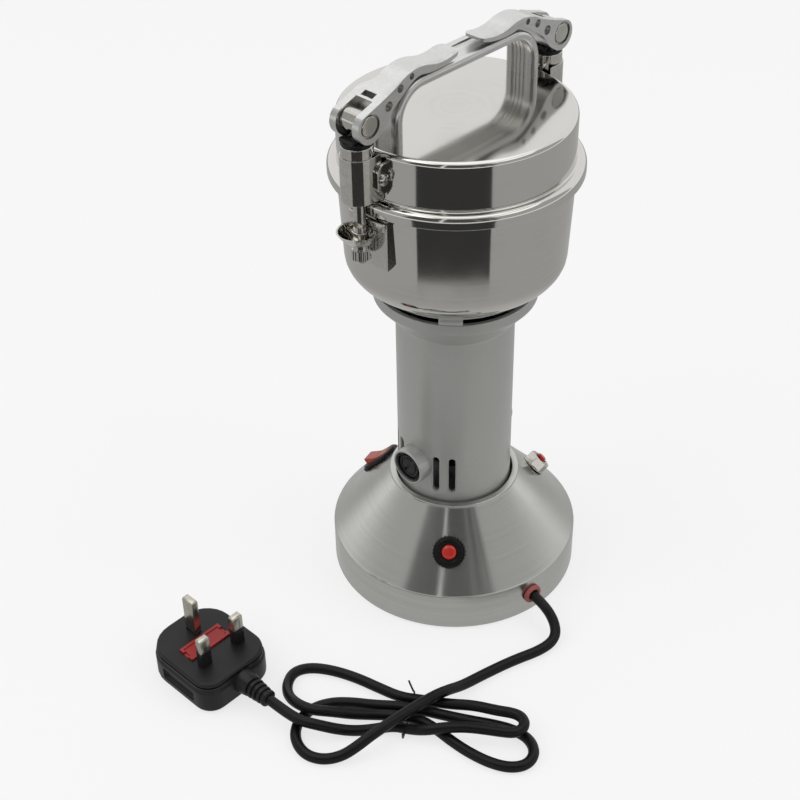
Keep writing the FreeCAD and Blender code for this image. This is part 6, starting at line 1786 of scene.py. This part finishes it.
@dataclass
class Lid:
    """The lid with its arched handle and the screws that go through it."""

    radius: float = 57.4
    top: float = 278.0
    wall: float = 1.1
    bead: float = 62.3
    bead_top: float = 253.6
    bottom: float = 247.0
    handle_outer: float = 49.3
    handle_thickness: float = 4.6
    handle_half_width: float = 9.0
    handle_top: float = 306.2
    handle_corner: float = 18.0

    def build(self) -> None:
        """Build the lid, the handle and the screws."""
        inner = self.radius - self.wall
        lid = Shape.turned("steel_lid", [
            (0, self.top), (self.radius, self.top, 2.6), (self.radius, self.bead_top, 0.9),
            (self.bead, self.bead_top, 3.4), (self.bead, self.bottom, 0.4),
            (self.bead - 1.1, self.bottom, 0.3), (self.bead - 1.1, 250.9), (inner, 250.9),
            (inner, self.top - self.wall, 1.4), (0, self.top - self.wall),
        ], 192, closed=False)
        lid.finish("lid_assembly", LID_STEEL, ("lid",), even=True)
        self._handle()
        self._screws()

    def _section(self) -> list[Corner]:
        """Return the bar's section at the +X foot, beads outside and a grooved web between."""
        outer = self.handle_outer
        inner = outer - self.handle_thickness
        half = self.handle_half_width
        section: list[Corner] = [
            (outer, -half, 1.9), (outer, -4.6, 0.6), (outer - 0.9, -4.2, 0.3),
            (outer - 0.9, 4.2, 0.3), (outer, 4.6, 0.6), (outer, half, 1.9),
            (inner, half, 1.9), (inner, 4.6, 0.6), (inner + 0.9, 4.2, 0.3),
        ]
        for middle in (2.4, 0.0, -2.4):
            section += [
                (inner + 0.9, middle + 0.55), (inner + 1.4, middle + 0.3),
                (inner + 1.4, middle - 0.3), (inner + 0.9, middle - 0.55),
            ]
        section += [(inner + 0.9, -4.2, 0.3), (inner, -4.6, 0.6), (inner, -half, 1.9)]
        return section

    def _handle(self) -> None:
        """Sweep the bar's section up, over and down."""
        corners = [(x, y, self.top, c[0] if c else 0.0) for x, y, *c in self._section()]
        bar = Shape("lid_handle", corners[0][:3])
        bar.draw(corners)
        bpy.ops.mesh.edge_face_add()
        bend_height = self.handle_top - self.handle_corner
        bend_x = self.handle_outer - self.handle_corner
        bar.extrude((0, 0, bend_height - self.top))
        for side in (1, -1):
            bpy.ops.mesh.spin(
                steps=16,
                dupli=False,
                angle=math.radians(90.0),
                center=Vector((side * bend_x, 0, bend_height)) * MM,
                axis=(0.0, 1.0, 0.0),
            )
            step = (-2 * bend_x, 0, 0) if side > 0 else (0, 0, self.top - bend_height)
            bar.extrude(step)
        bar.mend()
        bar.finish("lid_assembly", DRAWN_ALUMINIUM, ("handle",), smooth=28.0)

    def _screws(self) -> None:
        """Copy the cross-head screws of handle and clamp straps."""
        head = Shape.turned("strap_screws", [
            (0, -3.4), (1.8, -3.4), (1.9, 0), (2.9, 0, 0.2), (2.9, 0.7, 0.3), (1.9, 1.5, 0.9), (0, 1.6),
        ], 40, closed=False)
        head.cut(
            Shape.block("cross", (-1.7, -0.4, 0.8), (1.7, 0.4, 3)),
            Shape.block("cross", (-0.4, -1.7, 0.8), (0.4, 1.7, 3)),
        )
        head.bevel(0.1, 2, 50.0)
        copies = []
        for turn in SIDE_TURNS.values():
            for side in (-1, 1):
                place = turn_about_z(turn) @ pointing((59.6, side * 10.05, 266.8), (0, side, 0))
                copies.append(head.copy("copy", place))
        x = self.handle_outer - self.handle_thickness / 2
        for side in (-1, 1):
            for across in (-5.0, 5.0):
                place = pointing((side * x, across, self.top - self.wall), (0, 0, -1))
                small = Matrix.Diagonal((0.9, 0.9, 0.9, 1.0))
                copies.append(head.copy("copy", place @ small))
        bpy.data.objects.remove(head.obj)
        first = copies[0].together(*copies[1:])
        first.obj.name = "cross_head_screws"
        first.finish("lid_assembly", NICKEL, ("lid_screws",), even=True)


# Clamps


@dataclass
class Clamp:
    """One clamp: strap, tube, saddle, pull rod, cam lever, hooked cup and nut."""

    x: float = 65.8
    rod_radius: float = 2.9
    rod_bottom: float = 225.0
    tube_radius: float = 7.6
    tube_top: float = 284.0
    strap_low: float = 256.3
    strap_high: float = 278.8
    pin_height: float = 295.0
    cam_radius: float = 8.6
    cam_slack: float = 1.7
    cam_turn: float = 140.0
    half_width: float = 9.0
    neck_edge: float = 4.0
    shoulder: tuple[float, float] = (54.0, 49.0)
    fork_half: float = 5.0
    fork_root: float = 60.2
    tip: float = 7.6

    LEVER_TOP = (
        (60.4, 303.4), (50.4, 307.2), (44.1, 310.3), (37.4, 312.0), (31.3, 311.8),
        (22.8, 309.8), (17.1, 309.6), (12.0, 310.3), (7.6, 311.1),
    )
    LEVER_UNDER = (
        (7.6, 309.7), (10.6, 308.8), (14.5, 307.8), (20.4, 307.1), (28.0, 307.2),
        (34.2, 308.0), (38.3, 306.8), (45.2, 302.4), (52.3, 296.8), (56.2, 291.6), (62.2, 287.2),
    )
    LEVER_HOLES = ((54.1, 300.4, 2.3), (46.7, 306.2, 1.9), (39.4, 309.4, 1.45))

    def build(self, side: str) -> None:
        """Build one side's clamp.

        Args:
            side: "right" or "left".
        """
        turn = turn_about_z(SIDE_TURNS[side])
        for piece, body, finish, node in (
            (self._strap(), "lid_assembly", NICKEL, "clamp_sleeves"),
            (self._lugs(), "lid_assembly", NICKEL, "clamp_lugs"),
            (self._tube(), "lid_assembly", NICKEL, "clamp_tubes"),
            (self._saddle(), "lid_assembly", BLACK_PLASTIC, "clamp_bushes"),
            (self._pull_rod(), f"rod_{side}", NICKEL, f"clamp_rod_{side}"),
            (self._pin(), f"rod_{side}", NICKEL, f"cross_pin_{side}"),
            (self._lever(1 if side == "right" else -1), f"lever_{side}", SATIN_ALUMINIUM, f"clamp_lever_{side}"),
            (self._cup(), f"cup_{side}", NICKEL, f"clamp_cup_{side}"),
            (self._nut(), f"nut_{side}", NICKEL, f"knurled_nut_{side}"),
        ):
            piece.obj.name = f"{piece.obj.name}_{side}"
            piece.place(turn)
            shared = body == "lid_assembly" and side == "left"
            piece.finish(body, finish, () if shared else (node,), even=True)

    def _strap(self) -> Shape:
        """Return the strap that wraps the tube and ends in ears at the lid."""
        outer, inner, end = self.tube_radius + 0.65, self.tube_radius + 0.05, 59.0
        far = self.x + outer
        near = self.x + inner
        strap = Shape.plate("clamp_strap", [
            (end, -outer), (far, -outer, outer * 0.995), (far, outer, outer * 0.995), (end, outer),
            (end, inner), (near, inner, inner * 0.995), (near, -inner, inner * 0.995), (end, -inner),
        ], self.strap_low, self.strap_high)
        return strap.bevel(0.18, 2, 50.0)

    def _lugs(self) -> Shape:
        """Return the two ears that are welded to the lid's wall."""
        face = self.tube_radius + 0.75
        lugs = []
        for side in (-1, 1):
            low, high = sorted((side * face, side * (face + 1.7)))
            lug = Shape.plate("lid_lugs", [
                (55.5, 259.5), (63.2, 259.5, 4.5), (63.2, 274.5, 4.5), (55.5, 274.5),
            ], low, high, upright=True)
            lugs.append(lug.bevel(0.3, 2, 50.0))
        return lugs[0].together(lugs[1])

    def _tube(self) -> Shape:
        """Return the bright guide tube."""
        tube = Shape.turned("guide_tube", [
            (2.95, self.strap_low), (self.tube_radius, self.strap_low, 0.3),
            (self.tube_radius, self.tube_top, 0.5), (2.95, self.tube_top),
        ], 72)
        return tube.place(shifted(self.x, 0, 0))

    def _saddle(self) -> Shape:
        """Return the black saddle with the rib between the fork's cheeks."""
        saddle = Shape.turned("cam_saddle", [
            (2.95, self.tube_top), (7.5, self.tube_top, 0.2), (7.5, 286.1, 0.5), (2.95, 286.1),
        ], 64)
        saddle.place(shifted(self.x, 0, 0))
        for side in (-1, 1):
            rib = Shape.block("rib", (self.x + side * 5.0 - 1.9, -4.2, 286.0),
                              (self.x + side * 5.0 + 1.9, 4.2, 288.2))
            saddle.together(rib.bevel(0.4, 2))
        return saddle

    def _pull_rod(self) -> Shape:
        """Return the pull rod with its thread and the barrel that carries the pin."""
        radius = self.rod_radius
        profile: list[Corner] = [(0, self.rod_bottom), (radius - 0.5, self.rod_bottom), (radius, self.rod_bottom + 0.5)]
        level = self.rod_bottom + 1.0
        while level < 242.0:
            profile += [(radius, level), (radius - 0.35, level + 0.4)]
            level += 0.8
        profile += [(radius, level + 0.2), (radius, self.pin_height), (0, self.pin_height)]
        shank = Shape.turned("pull_rod", profile, 40, closed=False)
        shank.place(shifted(self.x, 0, 0))
        barrel = Shape.rod("barrel", (self.x, -4.7, self.pin_height), (self.x, 4.7, self.pin_height), 5.5, 56)
        return shank.together(barrel.bevel(0.6, 3, 60.0))

    def _pin(self) -> Shape:
        """Return the cross pin with a low domed head at both ends."""
        pin = Shape.turned("cross_pin", [
            (0, -8.8), (4.6, -8.75, 0.5), (5.0, -7.3, 0.2), (3.0, -7.2), (3.0, 7.2),
            (5.0, 7.3, 0.2), (4.6, 8.75, 0.5), (0, 8.8),
        ], 56, closed=False)
        return pin.place(pointing((self.x, 0, self.pin_height), (0, 1, 0)))

    def _cam(self) -> list[Corner]:
        """Return the cam's points, which shrink as the lever opens."""
        points = []
        for index in range(8):
            turn = math.radians(self.cam_turn) * index / 7
            radius = self.cam_radius - self.cam_slack * index / 7
            points.append((self.x + radius * math.sin(turn), self.pin_height - radius * math.cos(turn)))
        return points

    def _lever(self, hand: int) -> Shape:
        """Return the cast lever: forked cams, an arched neck with holes, and a thin paddle.

        Args:
            hand: 1 where the neck runs along the -Y cheek, -1 where it runs along the other.

        Returns:
            The lever.
        """
        cam = self._cam()
        half = self.half_width
        lever = Shape.flowing("cam_lever", [
            cam,
            [cam[-1], self.LEVER_TOP[0]],
            self.LEVER_TOP,
            [self.LEVER_TOP[-1], self.LEVER_UNDER[0]],
            self.LEVER_UNDER,
            [self.LEVER_UNDER[-1], cam[0]],
        ], -half - 1, half + 1)
        fork_end, neck_start = self.shoulder
        plan = Shape.plate("plan", [
            (self.tip - 0.5, -half * hand, 3.6), (84.0, -half * hand), (84.0, half * hand),
            (fork_end, half * hand, 5.0), (neck_start, self.neck_edge * hand, 5.0),
            (self.tip - 0.5, self.neck_edge * hand, 5.0),
        ], 276.0, 330.0)
        lever.combine([plan], Joining.KEEP_SHARED)
        low = self.pin_height - 17
        lever.cut(Shape.block("fork", (self.fork_root, -self.fork_half, low), (84, self.fork_half, 312)))
        lever.cut(Shape.block("notch", (55.8, -3.6, 300.0), (59.0, 3.6, 310.0)))
        for side in (-1, 1):
            mouth = side * (half - 1.8)
            lever.cut(Shape.rod("pocket", (self.x, mouth, self.pin_height), (self.x, side * 12, self.pin_height), 5.7, 56))
        for x, z, radius in self.LEVER_HOLES:
            low, high = sorted((-hand * (half - 2.4), -hand * 12))
            lever.cut(Shape.rod("hole", (x, low, z), (x, high, z), radius, 36))
            low, high = sorted((hand * (self.neck_edge - 2.4), hand * 12))
            lever.cut(Shape.rod("hole", (x, low, z), (x, high, z), radius, 36))
        lever.cut(Shape.rod("pin_hole", (self.x, -9.5, self.pin_height), (self.x, 9.5, self.pin_height), 3.05))
        return lever.bevel(0.4, 3, 34.0)

    def _cup(self) -> Shape:
        """Return the lopsided dish that hooks under the bowl's bracket."""
        clear_selection()
        bpy.ops.mesh.primitive_circle_add(
            vertices=64, radius=4.6 * MM, fill_type="NGON", location=Vector((self.x, 0, 233.0)) * MM)
        cup = Shape.holding(bpy.context.object, "hook_cup")
        cup.place(Matrix.Identity(4))
        cup.edit()
        centre = Vector((self.x, 0.0, 233.0))
        for rise, offset, radius in ((1.2, 0.5, 6.2), (3.2, 1.2, 7.7), (6.0, 2.1, 9.0), (7.0, 2.4, 9.4)):
            step = Vector((self.x + offset, 0, 233.0 + rise)) - centre
            cup.extrude(step)
            centre += step
            before = 4.6 if rise < 2 else last
            cup.resize((radius / before, radius / before, 1.0), centre)
            last = radius
        bpy.ops.mesh.inset(thickness=0.9 * MM)
        for rise, offset, radius in ((3.4, 1.3, 6.9), (1.3, 0.5, 4.6)):
            step = Vector((self.x + offset, 0, 233.0 + rise)) - centre
            cup.extrude(step)
            centre += step
            before = 8.5 if rise > 3 else 6.9
            cup.resize((radius / before, radius / before, 1.0), centre)
        cup.mend()
        hub = Shape.turned("hub", [
            (2.95, 233.6), (3.9, 233.6), (3.9, 239.6, 0.5), (2.95, 239.6),
        ], 48)
        cup.cut(Shape.rod("bore", (self.x, 0, 230), (self.x, 0, 242), 2.98, 48))
        cup.cut(Shape.block("flat", (50.0, -20, 232), (60.95, 20, 241)))
        cup.bevel(0.2, 2, 50.0)
        return cup.together(hub.place(shifted(self.x, 0, 0)))

    def _nut(self) -> Shape:
        """Return the fluted nut under the cup."""
        nut = Shape.fluted("fluted_nut", 4.4, 0.3, 20, 224.7, 230.0)
        collar = Shape.turned("collar", [
            (2.95, 223.5), (3.3, 223.5, 0.2), (4.1, 224.6, 0.2), (4.1, 230.1), (3.6, 230.7, 0.2),
            (3.6, 232.7, 0.2), (2.95, 232.7),
        ], 48)
        nut.cut(Shape.rod("bore", (0, 0, 220), (0, 0, 236), 3.2, 48))
        nut.bevel(0.12, 1, 60.0)
        nut.together(collar)
        return nut.place(shifted(self.x, 0, 0))


# Pieces that keep their CAD shape

KEPT_NODES: dict[str, Finish] = {
    "base_plate": SCREW_STEEL,
    "rubber_feet": BLACK_RUBBER,
    "pan_head_screws": SCREW_STEEL,
    "housing_gasket": BLACK_RUBBER,
    "lower_bracket": INNER_CAST,
    "lower_bearing": INNER_STEEL,
    "upper_bearing": INNER_STEEL,
    "stator": LAMINATION_WITH_PAINTED_SHADE,
    "stator_coils": COPPER,
    "brush_holders": BLACK_PLASTIC,
    "carbon_brushes": CARBON,
    "bowl_gasket": PALE_RUBBER,
    "lid_gasket": PALE_RUBBER,
    "shaft_seal": PALE_RUBBER,
    "motor_shaft": INNER_STEEL,
    "commutator": COPPER,
    "armature_core": LAMINATION_WITH_PAINTED_SHADE,
    "armature_windings": COPPER,
    "fan": BLACK_PLASTIC,
    "blade_spacers": INNER_STEEL,
    "lower_blade": POLISHED,
    "upper_blade": POLISHED,
    "blade_nut": POLISHED,
}


def dress_kept_nodes() -> None:
    """Give each CAD node that keeps its shape its finish."""
    for name, finish in KEPT_NODES.items():
        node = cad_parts[name]
        if node.material_slots:
            for slot in node.material_slots:
                slot.material = finish.material()
        else:
            node.data.materials.append(finish.material())
        log.info("%s keeps its CAD shape, in %s", name, finish.name)


def main() -> None:
    """Build the studio, the cord and every piece of the mill."""
    logging.basicConfig(level=logging.INFO, format="%(name)s: %(message)s")
    Studio().build()
    plug_pieces = Plug().build()
    MainsCord().build(plug_pieces)
    Base().build()
    Rocker().build()
    ResetButton().build()
    HexButton().build()
    Column().build()
    Bowl().build()
    Lid().build()
    for side in SIDE_TURNS:
        Clamp().build(side)
    dress_kept_nodes()
    clear_selection()


if __name__ == "__main__":
    main()
